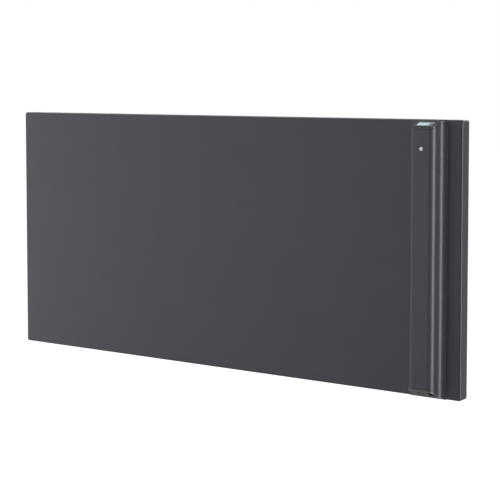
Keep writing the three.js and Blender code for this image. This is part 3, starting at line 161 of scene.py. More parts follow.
# Mains rocker and air holes, on the bottom slope
ROCKER_OFFSET = 0.0126
ROCKER_START = 0.007
ROCKER_LENGTH = 0.0086
ROCKER_WIDTH = 0.0046
ROCKER_HEIGHT = 0.0045
ROCKER_END_GAP = 0.0008
ROCKER_DISH = 0.0008
ROCKER_KEEL = 0.0012
ROCKER_EDGE = 0.00025
ROCKER_STEPS = 16
ROCKER_PIVOT = 0.004
ROCKER_TILT = math.radians(6.5)
PIVOT_RADIUS = 0.0008
PIVOT_END = 0.0008
# The film of painted shade round the rocker's opening: its width at the sides and at the ends
SHADE_RING_SIDE = 0.0016
SHADE_RING_END = 0.001
AIR_HOLES = ((-0.0045, 0.009), (0.0003, 0.0118))
AIR_HOLE_RADIUS = 0.0013
AIR_HOLE_STEPS = 32
# Painted shade in the air holes: a near-black bore lining, a disc deep in the bore, and a thin rim on the
# slope round each hole, stretched along the slope to make its dark spot bigger.
SHADE_BORE = 0.00115
SHADE_BORE_END = 0.00105
SHADE_RADIUS = 0.00127
SHADE_RIM = 0.00205
SHADE_RIM_EDGE = 0.0021
SHADE_RIM_STRETCH = 1.7
SHADE_DISC = 0.0019
SHADE_DISC_BACK = 0.00215

# Rear screws and buffers: a head or foot at the rear end, and a point or barb at the front end, as
# (radius, distance from the end)
SCREW_POINT = ((0.0006, 0), (0.0016, 0.001))
SCREW_RADIUS = 0.0016
SCREW_HEAD = 0.0018
SCREW_RIM = 0.0002
SCREW_RIM_BEVEL = 0.0003
SCREW_TURN = 0.3
CROSS_ARM = 0.0018
CROSS_HALF = 0.0004
CROSS_DEPTH = 0.0011
BUFFER_BARB = ((0.0026, 0), (0.003, 0.0003), (0.0042, 0.0017), (0.003, 0.0018))
BUFFER_STEM = 0.003
BUFFER_FOOT = 0.015
BUFFER_BEVEL = 0.0004
BUFFER_ROUND = 0.00225
BUFFER_DIMPLE = ((0.004, 0), (0.0036, 0.0009), (0.0002, 0.0009))
BUFFER_STEPS = 48

# Places read from the frame
panel_low, panel_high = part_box("front_panel")
cover_low, cover_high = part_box("column_cover")
FACE_Y, BACK_Y = panel_low.y, panel_high.y
HALF_X, HALF_Z = panel_high.x, panel_high.z
COLUMN_X = (cover_low.x + cover_high.x) / 2
FRONT_Y = cover_low.y
DEPTH = FACE_Y - FRONT_Y
HALF_COLUMN = COLUMN_HALF_FLAT + COLUMN_BEND
TOP_ANGLE = math.atan2(TOP_RISE, DEPTH)
BOTTOM_ANGLE = math.atan2(BOTTOM_FALL, DEPTH)
TOP_FRAME = Matrix.Translation((COLUMN_X, FRONT_Y, TOP_FRONT_Z))
TOP_FRAME = TOP_FRAME @ Matrix.Rotation(TOP_ANGLE, 4, "X")
BOTTOM_FRAME = Matrix.Translation((COLUMN_X, FRONT_Y, BOTTOM_FRONT_Z))
BOTTOM_FRAME = BOTTOM_FRAME @ Matrix.Rotation(-BOTTOM_ANGLE, 4, "X")
SLOT_OF = {row["node"]: row["material_slot"] for row in frame["record"]["subparts"]}


# Materials

# Where a noise is low and high enough for the ends of a colour's or a roughness's range
DARK_AT = 0.3
PALE_AT = 0.7
SMOOTH_AT = 0.25
ROUGH_AT = 0.75


class Graph:
    """A node tree with short calls to add and link its nodes."""

    def __init__(self, tree):
        self.tree = tree

    def add(self, kind, **values):
        """A new node, with its own settings or its inputs set by name."""
        node = self.tree.nodes.new(kind)
        for key, value in values.items():
            if hasattr(node, key):
                setattr(node, key, value)
            else:
                node.inputs[key.replace("_", " ")].default_value = value
        return node

    def link(self, output, socket):
        self.tree.links.new(output, socket)


class Finish(Graph):
    """A material round one Principled shader, patterned in the piece's own coordinates."""

    def __init__(self, name, roughness, metallic=0.0):
        self.material = bpy.data.materials.new(name)
        self.material.use_nodes = True
        super().__init__(self.material.node_tree)
        self.shader = self.tree.nodes["Principled BSDF"]
        self.place = self.add("ShaderNodeTexCoord").outputs["Object"]
        self.base = roughness
        self.normal = None
        self.set("Roughness", roughness)
        self.set("Metallic", metallic)

    def set(self, socket, value):
        self.shader.inputs[socket].default_value = value

    def noise(self, scale, detail=3, rough=0.5, stretch=None):
        node = self.add("ShaderNodeTexNoise", Scale=scale, Detail=detail, Roughness=rough)
        place = self.place
        if stretch:
            mapping = self.add("ShaderNodeMapping", Scale=stretch)
            self.link(place, mapping.inputs["Vector"])
            place = mapping.outputs[0]
        self.link(place, node.inputs["Vector"])
        return node.outputs["Fac"]

    def cells(self, scale):
        node = self.add("ShaderNodeTexVoronoi", Scale=scale)
        self.link(self.place, node.inputs["Vector"])
        return node.outputs["Color"]

    def ramp(self, fac, stops):
        node = self.add("ShaderNodeValToRGB")
        ramp = node.color_ramp
        while len(ramp.elements) < len(stops):
            ramp.elements.new(0.5)
        for element, (position, colour) in zip(ramp.elements, stops):
            element.position = position
            element.color = (*colour, 1)
        self.link(fac, node.inputs["Fac"])
        return node.outputs["Color"]

    def colour(self, fac, stops):
        self.link(self.ramp(fac, stops), self.shader.inputs["Base Color"])

    def mottle(self, fac, colour, spread):
        """The colour, darker and lighter by a share of itself."""
        low = [c * (1 - spread) for c in colour]
        high = [min(1, c * (1 + spread)) for c in colour]
        self.colour(fac, ((DARK_AT, low), (PALE_AT, high)))

    def worn(self, fac, less, more):
        """Roughness that runs from a little less to a little more than the finish's own."""
        node = self.add("ShaderNodeMapRange", From_Min=SMOOTH_AT, From_Max=ROUGH_AT,
                        To_Min=self.base - less, To_Max=self.base + more)
        self.link(fac, node.inputs["Value"])
        self.link(node.outputs[0], self.shader.inputs["Roughness"])

    def bump(self, fac, distance, strength):
        """A bump on top of those made before it."""
        node = self.add("ShaderNodeBump", Distance=distance, Strength=strength)
        self.link(fac, node.inputs["Height"])
        if self.normal:
            self.link(self.normal, node.inputs["Normal"])
        self.normal = node.outputs["Normal"]
        self.link(self.normal, self.shader.inputs["Normal"])


def powder_coat(name, colour, roughness, specular):
    finish = Finish(name, roughness)
    finish.set("Specular IOR Level", specular)
    finish.mottle(finish.noise(14, detail=4, rough=0.6), colour, spread=0.05)
    finish.worn(finish.noise(260), less=0.04, more=0.05)
    finish.bump(finish.noise(520, detail=2), distance=0.000035, strength=0.35)
    finish.bump(finish.noise(2600, detail=2), distance=0.000012, strength=0.3)
    return finish.material


def moulded(name, colour, roughness, grain=2400, depth=0.00002, spread=0.05, specular=0.5):
    finish = Finish(name, roughness)
    finish.set("Specular IOR Level", specular)
    finish.mottle(finish.noise(90, detail=4, rough=0.6), colour, spread)
    finish.worn(finish.noise(600), less=0.05, more=0.06)
    finish.bump(finish.noise(grain, detail=2), depth, strength=0.35)
    return finish.material


def metal(name, colour, roughness, grain, depth, stretch=(1, 1, 1)):
    finish = Finish(name, roughness, metallic=0.9)
    finish.mottle(finish.noise(35, detail=4, rough=0.6), colour, spread=0.06)
    finish.worn(finish.noise(grain, rough=0.6, stretch=stretch), less=0.07, more=0.08)
    finish.bump(finish.noise(grain, rough=0.6, stretch=stretch), depth, strength=0.4)
    return finish.material


def galvanised(name, colour, spangle, spread, roughness, metallic):
    """Zinc-coated sheet, with crystal facets of about 1/spangle metres."""
    finish = Finish(name, roughness, metallic)
    facets = finish.cells(spangle)
    shades = ((0.1, -spread), (0.5, 0), (0.9, spread))
    finish.colour(facets, [(place, [c * (1 + shade) for c in colour]) for place, shade in shades])
    finish.worn(facets, less=0.05, more=0.06)
    finish.bump(finish.noise(420, detail=4), distance=0.00002, strength=0.3)
    return finish.material


def circuit_board(name):
    """Green lacquer with a raised pattern of conductors."""
    finish = Finish(name, 0.4)
    lines = finish.add("ShaderNodeTexBrick", Scale=210, Mortar_Size=0.06, offset=0.5,
                  Color1=(0.02, 0.115, 0.055, 1), Color2=(0.025, 0.135, 0.065, 1),
                  Mortar=(0.05, 0.21, 0.11, 1))
    turned = finish.add("ShaderNodeMapping", Rotation=(math.radians(90), 0, 0))
    finish.link(finish.place, turned.inputs["Vector"])
    finish.link(turned.outputs[0], lines.inputs["Vector"])
    finish.link(lines.outputs["Color"], finish.shader.inputs["Base Color"])
    finish.worn(finish.noise(500), less=0.07, more=0.08)
    finish.bump(lines.outputs["Fac"], distance=0.00004, strength=0.4)
    return finish.material


def insulation(name, colour):
    finish = Finish(name, 0.45)
    finish.mottle(finish.noise(300), colour, spread=0.12)
    finish.worn(finish.noise(900), less=0.07, more=0.1)
    finish.bump(finish.noise(1600, detail=2, stretch=(1, 1, 0.4)), distance=0.00005, strength=0.4)
    return finish.material


def clear_sheet(name, tint):
    """Clear plastic that mirrors less than glass, so that the print behind it stays dark."""
    finish = Finish(name, 0.04)
    finish.mottle(finish.noise(200, detail=2), tint, spread=0.02)
    finish.worn(finish.noise(420), less=0.02, more=0.03)
    finish.bump(finish.noise(160, detail=2), distance=0.000004, strength=0.3)
    finish.set("Transmission Weight", 1.0)
    finish.set("IOR", 1.18)
    return finish.material


def glowing(name, stops, strength):
    """A lit surface whose colour runs through the stops from the screen's left to its right."""
    finish = Finish(name, 0.5)
    scale = 1 / SCREEN_RUN
    across = finish.add("ShaderNodeSeparateXYZ")
    shifted = finish.add("ShaderNodeMapping", Location=(-COLUMN_X * scale + 0.5, 0, 0), Scale=(scale, 1, 1))
    finish.link(finish.place, shifted.inputs["Vector"])
    finish.link(shifted.outputs[0], across.inputs[0])
    finish.link(finish.ramp(across.outputs["X"], stops), finish.shader.inputs["Emission Color"])
    finish.set("Emission Strength", strength)
    finish.mottle(finish.noise(900, detail=2), (0.3, 0.36, 0.38), spread=0.1)
    finish.bump(finish.noise(1500, detail=2), distance=0.000008, strength=0.2)
    return finish.material


def diffusing_lens(name):
    finish = Finish(name, 0.3)
    finish.mottle(finish.noise(700), (0.62, 0.62, 0.66), spread=0.05)
    finish.worn(finish.noise(1500, detail=2), less=0.06, more=0.06)
    finish.bump(finish.noise(900, detail=2), distance=0.00001, strength=0.3)
    finish.set("Subsurface Weight", 0.35)
    finish.set("Subsurface Radius", (0.001, 0.001, 0.001))
    finish.set("Emission Color", (0.8, 0.8, 0.86, 1))
    finish.set("Emission Strength", 0.22)
    return finish.material


COAT = (0.0475, 0.0458, 0.062)
# The column's coat is the panel's coat at about 0.8 of its value: painted shade that darkens the column.
COLUMN_SHADED_COAT = (0.038, 0.0365, 0.0505)
FINISHES = {
    "panel_coat": powder_coat("panel_coat", COAT, 0.37, specular=0.2),
    "column_coat": powder_coat("column_coat", COLUMN_SHADED_COAT, 0.36, specular=0.24),
    "cap_plastic": moulded("cap_plastic", (0.045, 0.0435, 0.0435), 0.42, specular=0.4),
    "zinc_sheet": galvanised("zinc_sheet", (0.4, 0.412, 0.425), spangle=190, spread=0.05,
                             roughness=0.5, metallic=0.35),
    "aluminium_sheet": metal("aluminium_sheet", (0.5, 0.51, 0.52), 0.46, 900, 0.00001, (0.04, 1, 1)),
    "aluminium_cast": metal("aluminium_cast", (0.45, 0.45, 0.46), 0.45, 1400, 0.00003, (0.02, 1, 1)),
    "steel": metal("steel", (0.42, 0.43, 0.45), 0.32, 1800, 0.00001),
    "ceramic": moulded("ceramic", (0.78, 0.74, 0.66), 0.7, 1200, 0.00005),
    "rubber": moulded("rubber", (0.014, 0.014, 0.015), 0.8, 1800, 0.00004, spread=0.15),
    "black_plastic": moulded("black_plastic", (0.012, 0.012, 0.013), 0.48, spread=0.12),
    "grey_plastic": moulded("grey_plastic", (0.15, 0.152, 0.163), 0.5),
    "pale_plastic": moulded("pale_plastic", (0.7, 0.68, 0.62), 0.42),
    "circuit_board": circuit_board("circuit_board"),
    "relay_case": moulded("relay_case", (0.022, 0.08, 0.34), 0.3, 1200, 0.00001),
    "button_plastic": moulded("button_plastic", (0.01, 0.011, 0.014), 0.28, 3000, 0.000008, spread=0.1),
    "indicator_lens": diffusing_lens("indicator_lens"),
    "display_glass": clear_sheet("display_glass", (0.93, 0.97, 0.98)),
    "display_panel": moulded("display_panel", (0.55, 0.6, 0.62), 0.5),
    "brown_insulation": insulation("brown_insulation", (0.075, 0.025, 0.01)),
    "blue_insulation": insulation("blue_insulation", (0.018, 0.075, 0.32)),
}
BRACKET_ZINC = galvanised("bracket_zinc", (0.53, 0.535, 0.53), spangle=90, spread=0.035,
                          roughness=0.42, metallic=0.45)
# The caps' outer slopes: the column's darker coat, painted shade included, with a duller gloss.
CAP_COAT = powder_coat("cap_coat", COLUMN_SHADED_COAT, 0.5, specular=0.12)
# Near-black without sheen: painted shade, in the air holes and round the rocker's opening
SHADE_BLACK = moulded("painted_shade_black", (0.0035, 0.0035, 0.0038), 0.85, 1800, 0.00003, spread=0.15, specular=0.05)
ROCKER_BLACK = moulded("rocker_black", (0.007, 0.007, 0.0075), 0.6, spread=0.12, specular=0.12)
PRINT_DARK = moulded("print_dark", (0.008, 0.02, 0.03), 0.3, 2000, 0.000005, spread=0.1)
PRINT_PALE = moulded("print_pale", (0.55, 0.56, 0.58), 0.45, 2600, 0.000006, spread=0.06)
SCREEN_STOPS = (
    (0.05, (0.62, 0.78, 0.84)),
    (0.2, (0.52, 0.7, 0.76)),
    (0.5, (0.46, 0.65, 0.7)),
    (0.64, (0.4, 0.46, 0.42)),
    (0.74, (0.3, 0.3, 0.22)),
)
DIGIT_STOPS = ((0.05, (0.4, 0.56, 0.62)), (0.85, (0.34, 0.48, 0.53)))
SCREEN_LIGHT = glowing("screen_light", SCREEN_STOPS, strength=0.48)
SCREEN_DIGIT = glowing("screen_digit", DIGIT_STOPS, strength=0.34)


# Mesh helpers


def from_bmesh(name, mesh_data):
    bmesh.ops.recalc_face_normals(mesh_data, faces=mesh_data.faces)
    mesh = bpy.data.meshes.new(name)
    mesh_data.to_mesh(mesh)
    mesh_data.free()
    made = bpy.data.objects.new(name, mesh)
    scene.collection.objects.link(made)
    return made


def loft(rings, endless=False):
    """A closed body through rings of equally many points, with flat ends or joined end to end."""
    body = bmesh.new()
    made = [[body.verts.new(p) for p in ring] for ring in rings]
    next_rings = made[1:] + made[:1] if endless else made[1:]
    for ring, following in zip(made, next_rings):
        for i in range(len(ring)):
            j = (i + 1) % len(ring)
            body.faces.new((ring[i], ring[j], following[j], following[i]))
    if not endless:
        body.faces.new(list(reversed(made[0])))
        body.faces.new(made[-1])
    return body


def revolved(profile, steps, axis):
    """A body turned round Y (or Z) from (radius, along) pairs."""
    rings = []
    for radius, along in profile:
        ring = []
        for i in range(steps):
            turn = 2 * math.pi * i / steps
            a, b = radius * math.cos(turn), radius * math.sin(turn)
            ring.append((a, along, b) if axis == "Y" else (a, b, along))
        rings.append(ring)
    return loft(rings)


def rod(name, radius, start, end, steps, axis):
    return from_bmesh(name, revolved([(radius, start), (radius, end)], steps, axis))


def block(low, high):
    (x0, y0, z0), (x1, y1, z1) = low, high
    ring = ((x0, y0), (x1, y0), (x1, y1), (x0, y1))
    return loft([[(x, y, z) for x, y in ring] for z in (z0, z1)])


def slab(name, low, high, matrix):
    return placed(from_bmesh(name, block(low, high)), matrix)


def quarter_turns(steps):
    return [math.pi / 2 * step / steps for step in range(steps + 1)]


def dome_fall(half, rise, distance):
    """How far a shallow dome of this half width and rise has fallen at a distance from its middle."""
    sphere = (half * half + rise * rise) / (2 * rise)
    return sphere - math.sqrt(sphere * sphere - distance * distance)


def placed(made, matrix):
    made.data.transform(matrix)
    return made


def applied(made):
    """The object with its modifiers worked into its mesh."""
    graph = bpy.context.evaluated_depsgraph_get()
    mesh = bpy.data.meshes.new_from_object(made.evaluated_get(graph))
    made.modifiers.clear()
    made.data = mesh
    return made


def carved(made, tools, operation="DIFFERENCE"):
    for tool in tools:
        boolean = made.modifiers.new("carve", "BOOLEAN")
        boolean.operation = operation
        boolean.solver = "EXACT"
        boolean.object = tool
    applied(made)
    for tool in tools:
        bpy.data.objects.remove(tool)
    return made


def softened(made, width, steps=3, angle=32):
    """Rounds the edges sharper than the angle and shades the rest smooth."""
    bevel = made.modifiers.new("edges", "BEVEL")
    bevel.width = width
    bevel.segments = steps
    bevel.limit_method = "ANGLE"
    bevel.angle_limit = math.radians(angle)
    applied(made)
    return shaded(made)


def shaded(made):
    """Smooth but for its sharp edges, with its flat faces kept flat."""
    mesh = made.data
    mesh.shade_smooth()
    mesh.set_sharp_from_angle(angle=SHARP_ANGLE)
    normals = made.modifiers.new("normals", "WEIGHTED_NORMAL")
    normals.keep_sharp = True
    normals.weight = 90
    return made


def finished(made, material, body="heater", node=None):
    """Gives a piece its material and its body, and hides the node that it stands for."""
    made.data.materials.clear()
    made.data.materials.append(material)
    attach(made, body)
    if node:
        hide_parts(node)
    return made


def stand_in(made, node, body="heater"):
    """Finishes a fine form with the slot of the node that it stands for."""
    slot = SLOT_OF[node]
    return finished(made, FINISHES[slot], body, node)


# Front panel


def panel_ring(inset, y):
    """The panel's rounded outline at a depth, drawn in by the inset."""
    radius = max(CORNER - inset, LEAST_CORNER)
    points = []
    for across, up, start in ((1, 1, 0), (-1, 1, 90), (-1, -1, 180), (1, -1, 270)):
        for step in range(ROUND_STEPS + 1):
            turn = math.radians(start + 90 * step / ROUND_STEPS)
            x = across * (HALF_X - inset - radius) + radius * math.cos(turn)
            z = up * (HALF_Z - inset - radius) + radius * math.sin(turn)
            points.append((x, y, z))
    return points


def face_bend(radius, inset, y, steps):
    """The bend from a face at y to a side at the inset, as (inset, y) pairs."""
    return [(inset + radius * (1 - math.sin(turn)), y + radius * (1 - math.cos(turn)))
            for turn in quarter_turns(steps)]


def screw_hole(name, radius, y):
    low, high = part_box(name)
    middle = (low + high) / 2
    hole = rod(f"tool_{name}", radius, y - TOOL_REACH, y + TOOL_REACH, HOLE_STEPS, "Y")
    return placed(hole, Matrix.Translation((middle.x, 0, middle.z)))


def front_panel():
    """A folded tray with a rear flange, open behind the column and holed for its screws."""
    profile = face_bend(EDGE, 0, FACE_Y, BEND_STEPS)
    profile += [(FOLD * (1 - math.cos(turn)), BACK_Y - FOLD * (1 - math.sin(turn)))
                for turn in quarter_turns(COARSE_STEPS)]
    profile += [(FLANGE, BACK_Y), (FLANGE, BACK_Y - SHEET), (SHEET + INNER_LEAN, BACK_Y - SHEET)]
    profile += reversed(face_bend(EDGE - SHEET, SHEET, FACE_Y + SHEET, BEND_STEPS))
    tray = from_bmesh("panel_front", loft([panel_ring(inset, y) for inset, y in profile]))
    grommet_low, grommet_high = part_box("wire_grommet")
    wires_z = (grommet_low.z + grommet_high.z) / 2
    tools = [from_bmesh("tool_window", block(
        (COLUMN_X - WIRE_WINDOW_HALF_WIDTH, FACE_Y - TOOL_REACH, wires_z - WIRE_WINDOW_HALF_HEIGHT),
        (COLUMN_X + WIRE_WINDOW_HALF_WIDTH, FACE_Y + TOOL_REACH, wires_z + WIRE_WINDOW_HALF_HEIGHT)))]
    for name in REAR_SCREWS:
        tools.append(screw_hole(name, REAR_SCREW_HOLE, BACK_Y))
    for name in ("carrier_screw_upper", "carrier_screw_lower"):
        tools.append(screw_hole(name, CARRIER_SCREW_HOLE, FACE_Y))
    return stand_in(shaded(carved(tray, tools)), "front_panel")


# Control column


def column_outline(inset, back):
    """One side and then the other of the column's section, as (across, out of the face)."""
    centre = HALF_COLUMN + FOOT_BEND
    centre_out = FOOT_LIP + FOOT_BEND
    foot = FOOT_BEND + inset
    bend = COLUMN_BEND - inset
    start = math.acos(min(1, centre_out / foot))
    half = [(centre - foot * math.sin(start), -back)]
    for step in range(BEND_STEPS + 1):
        turn = start + (math.pi / 2 - start) * step / BEND_STEPS
        half.append((centre - foot * math.sin(turn), centre_out - foot * math.cos(turn)))
    for turn in quarter_turns(BEND_STEPS):
        half.append((COLUMN_HALF_FLAT + bend * math.cos(turn), DEPTH - COLUMN_BEND + bend * math.sin(turn)))
    return half + [(-across, out) for across, out in reversed(half)]


def top_height(y, drop):
    """The top slope's height at a depth, less a drop square to the slope."""
    return TOP_FRONT_Z + (y - FRONT_Y) * math.tan(TOP_ANGLE) - drop / math.cos(TOP_ANGLE)


def bottom_height(y, rise):
    """The bottom slope's height at a depth, plus a rise square to the slope."""
    return BOTTOM_FRONT_Z - (y - FRONT_Y) * math.tan(BOTTOM_ANGLE) + rise / math.cos(BOTTOM_ANGLE)


def between(outline, low, high):
    """The upright prism of an outline, from the heights that low(y) gives up to those of high(y)."""
    plan = [(COLUMN_X + across, FACE_Y - out) for across, out in outline]
    return loft([[(x, y, low(y)) for x, y in plan], [(x, y, high(y)) for x, y in plan]])


def column_cover():
    section = column_outline(0, 0) + list(reversed(column_outline(COVER_WALL, 0)))
    cover = from_bmesh("cover_column", between(
        section, lambda y: bottom_height(y, SEAM), lambda y: top_height(y, SEAM)))
    hole = rod("tool_lens", LENS_HOLE, FRONT_Y - TOOL_REACH, FRONT_Y + TOOL_REACH, LENS_STEPS, "Y")
    placed(hole, Matrix.Translation((COLUMN_X, 0, INDICATOR_Z)))
    return stand_in(softened(carved(cover, [hole]), COVER_EDGE, steps=2, angle=40), "column_cover")


def grown_panel():
    """The panel's solid outside with a gap round it, to cut the caps where they meet it."""
    profile = face_bend(EDGE + GAP, -GAP, FACE_Y - GAP, COARSE_STEPS)
    profile.append((-GAP, BACK_Y + TOOL_REACH))
    return from_bmesh("tool_panel", loft([panel_ring(inset, y) for inset, y in profile]))


def trim(name, low_z, high_z):
    """A block round the whole column, to cut off what lies between two heights."""
    return from_bmesh(name, block((COLUMN_X - TRIM_REACH, FRONT_Y - TRIM_REACH, low_z),
                                  (COLUMN_X + TRIM_REACH, BACK_Y + TRIM_REACH, high_z)))


def slope_hole(across, along, matrix, bottom=-TOOL_REACH):
    """A tool over a (low, high) range across and along a slope, from the bottom out of the slope."""
    return slab("tool_slope", (across[0], along[0], bottom), (across[1], along[1], TOOL_REACH), matrix)


def tongues(along, depths, matrix):
    """The cap's two tongues, which stand inside the cover's walls."""
    outside = HALF_COLUMN - COVER_WALL - GAP
    inside = outside - SHEET
    return [slab("tool_slope", (x0, along[0], depths[0]), (x1, along[1], depths[1]), matrix)
            for x0, x1 in ((-outside, -inside), (inside, outside))]


def duller_slope(cap, node, matrix, side):
    """The cap in the column's coat, with the duller coat on its outer slope."""
    outward = matrix.to_3x3() @ Vector((0, 0, side))
    stand_in(cap, node)
    cap.data.materials.append(CAP_COAT)
    for polygon in cap.data.polygons:
        if polygon.normal.dot(outward) > SLOPE_COSINE:
            polygon.material_index = 1
    return cap


def top_cap():
    cap = from_bmesh("cap_top", between(
        column_outline(0, CAP_LIP), lambda y: top_height(y, CAP), lambda y: top_height(y, 0)))
    half = WINDOW_WIDTH / 2 + GAP
    ledge = half - WINDOW_SIDE_LEDGE
    tools = [
        grown_panel(),
        trim("tool_above", HALF_Z, HALF_Z + TRIM_REACH),
        slope_hole((-half, half), (WINDOW_NEAR - GAP, WINDOW_FAR + GAP), TOP_FRAME, -WINDOW_SEAT),
        slope_hole((-ledge, ledge), (WINDOW_NEAR + WINDOW_END_LEDGE, WINDOW_FAR - WINDOW_END_LEDGE),
                   TOP_FRAME),
    ]
    half = BUTTON_WIDTH / 2 + GAP
    along = (BUTTON_NEAR - GAP, BUTTON_FAR + GAP)
    for offset in BUTTON_PLACES.values():
        tools.append(slope_hole((offset - half, offset + half), along, TOP_FRAME))
    carved(cap, tools)
    carved(cap, tongues(TOP_TONGUE_ALONG, (-CAP - TONGUE, -CAP / 2), TOP_FRAME), "UNION")
    return duller_slope(softened(cap, CAP_EDGE), "column_top_cap", TOP_FRAME, 1)


def bottom_cap():
    cap = from_bmesh("cap_bottom", between(
        column_outline(0, CAP_LIP), lambda y: bottom_height(y, 0), lambda y: bottom_height(y, CAP)))
    half = ROCKER_WIDTH / 2 + GAP
    rocker_along = (ROCKER_START - ROCKER_END_GAP, ROCKER_START + ROCKER_LENGTH + ROCKER_END_GAP)
    tools = [
        grown_panel(),
        trim("tool_under", -HALF_Z - TRIM_REACH, -HALF_Z),
        slope_hole((ROCKER_OFFSET - half, ROCKER_OFFSET + half), rocker_along, BOTTOM_FRAME),
    ]
    for offset, along in AIR_HOLES:
        hole = rod("tool_air", AIR_HOLE_RADIUS, -TOOL_REACH, TOOL_REACH, AIR_HOLE_STEPS, "Z")
        tools.append(placed(hole, BOTTOM_FRAME @ Matrix.Translation((offset, along, 0))))
    carved(cap, tools)
    carved(cap, tongues(BOTTOM_TONGUE_ALONG, (CAP / 2, CAP + TONGUE), BOTTOM_FRAME), "UNION")
    return duller_slope(softened(cap, CAP_EDGE), "column_bottom_cap", BOTTOM_FRAME, -1)


# Painted shade on the bottom slope: near-black linings in the air holes and round the rocker's opening


def vent_shade_linings():
    """Painted shade for the two air holes: each a near-black lining with a thin rim and a disc deep inside.
    """
    profile = [(HAIR, SHADE_DISC), (SHADE_BORE_END, SHADE_DISC), (SHADE_BORE, -FILM),
               (SHADE_RIM, -FILM), (SHADE_RIM_EDGE, HAIR), (SHADE_RADIUS, 2 * HAIR),
               (SHADE_RADIUS, SHADE_DISC_BACK), (HAIR, SHADE_DISC_BACK)]
    for index, (offset, along) in enumerate(AIR_HOLES, 1):
        lining = from_bmesh(f"vent_shade_lining_{index}", revolved(profile, FINE_STEPS, "Z"))
        for vertex in lining.data.vertices:
            # The rim of painted shade is stretched along the slope, so that each dark spot is bigger.
            if math.hypot(vertex.co.x, vertex.co.y) > AIR_HOLE_RADIUS:
                vertex.co.y *= SHADE_RIM_STRETCH
        placed(lining, BOTTOM_FRAME @ Matrix.Translation((offset, along, 0)))
        finished(shaded(lining), SHADE_BLACK)


def rocker_shade_ring():
    """A thin near-black film of painted shade that lies round the rocker's opening."""
    middle = ROCKER_START + ROCKER_LENGTH / 2
    inner = (ROCKER_WIDTH / 2 + GAP, ROCKER_LENGTH / 2 + ROCKER_END_GAP)
    outer = (inner[0] + SHADE_RING_SIDE, inner[1] + SHADE_RING_END)
    rings = []
    for (half_x, half_y), z in ((inner, HAIR), (outer, HAIR), (outer, -FILM), (inner, -FILM)):
        rings.append([(ROCKER_OFFSET + i * half_x, middle + j * half_y, z)
                      for i, j in ((-1, -1), (1, -1), (1, 1), (-1, 1))])
    made = placed(from_bmesh("rocker_shade_ring", loft(rings, endless=True)), BOTTOM_FRAME)
    finished(shaded(made), SHADE_BLACK)


# Display, buttons, indicator and rocker


def digit_bars(value, left, low):
    """The bars of a seven-bar digit as (x0, y0, x1, y1), on the slope."""
    right, high, middle = left + DIGIT_WIDTH, low + DIGIT_HEIGHT, low + DIGIT_HEIGHT / 2
    bar = DIGIT_BAR
    gap = bar * DIGIT_GAP_SHARE
    top = (left + gap, high - bar, right - gap, high)
    upper_right = (right - bar, middle + gap, right, high - gap)
    lower_right = (right - bar, low + gap, right, middle - gap)
    bottom = (left + gap, low, right - gap, low + bar)
    lower_left = (left, low + gap, left + bar, middle - gap)
    centre = (left + gap, middle - bar / 2, right - gap, middle + bar / 2)
    lit = {"1": [upper_right, lower_right], "2": [top, upper_right, centre, lower_left, bottom]}
    return lit[value]


def degree_bars():
    """The four bars of the small square ring after the digits."""
    left, low, bar = DEGREE_LEFT, DEGREE_NEAR, DEGREE_BAR
    right, high = left + DEGREE_SIZE, low + DEGREE_SIZE
    return [(left, low, left + bar, high), (left, high - bar, right, high),
            (right - bar, low, right, high), (left, low, right, low + bar)]


def bars_object(name, bars, low, high):
    """Flat bars of (x0, y0, x1, y1) on the top slope, between two heights over it."""
    whole = bmesh.new()
    for x0, y0, x1, y1 in bars:
        part = block((x0, y0, low), (x1, y1, high))
        mesh = bpy.data.meshes.new("bar")
        part.to_mesh(mesh)
        part.free()
        whole.from_mesh(mesh)
        bpy.data.meshes.remove(mesh)
    return shaded(placed(from_bmesh(name, whole), TOP_FRAME))


def display():
    """The clear window, the dark border, lit screen and digits printed behind it, and the module."""
    half = WINDOW_WIDTH / 2
    glass = slab("window_glass", (-half, WINDOW_NEAR, -GLASS), (half, WINDOW_FAR, 0), TOP_FRAME)
    stand_in(softened(glass, DISPLAY_EDGE), "display_window")
    border = slab("window_border", (-half, WINDOW_NEAR, BORDER_BACK),
                  (half, WINDOW_FAR, BORDER_FRONT), TOP_FRAME)
    finished(shaded(border), PRINT_DARK)
    screen_front = BORDER_FRONT + PRINT
    screen = slab("window_screen", (SCREEN_LEFT, SCREEN_NEAR, BORDER_FRONT),
                  (SCREEN_RIGHT, SCREEN_FAR, screen_front), TOP_FRAME)
    finished(shaded(screen), SCREEN_LIGHT)
    bars = []
    for value, left in DIGITS:
        bars += digit_bars(value, left, DIGIT_NEAR)
    bars += degree_bars()
    digits = bars_object("window_digits", bars, screen_front, screen_front + PRINT)
    finished(digits, SCREEN_DIGIT)
    front = -CAP - GAP
    module = slab("module_display", (-MODULE_HALF_WIDTH, MODULE_NEAR, front - MODULE_THICKNESS),
                  (MODULE_HALF_WIDTH, MODULE_FAR, front), TOP_FRAME)
    stand_in(softened(module, DISPLAY_EDGE), "display_module")


def mark_bars():
    """Each button's mark as bars of (x0, y0, x1, y1) round the button's middle."""
    minus = (-MARK_ARM, -MARK_HALF, MARK_ARM, MARK_HALF)
    lower = (-MARK_HALF, -MARK_ARM, MARK_HALF, -MARK_HALF)
    upper = (-MARK_HALF, MARK_HALF, MARK_HALF, MARK_ARM)
    lines = [(-MENU_ARM, y - MENU_HALF, MENU_ARM, y + MENU_HALF) for y in (-MENU_SPACING, 0, MENU_SPACING)]
    return {"button_minus": [minus], "button_menu": lines, "button_plus": [minus, lower, upper]}


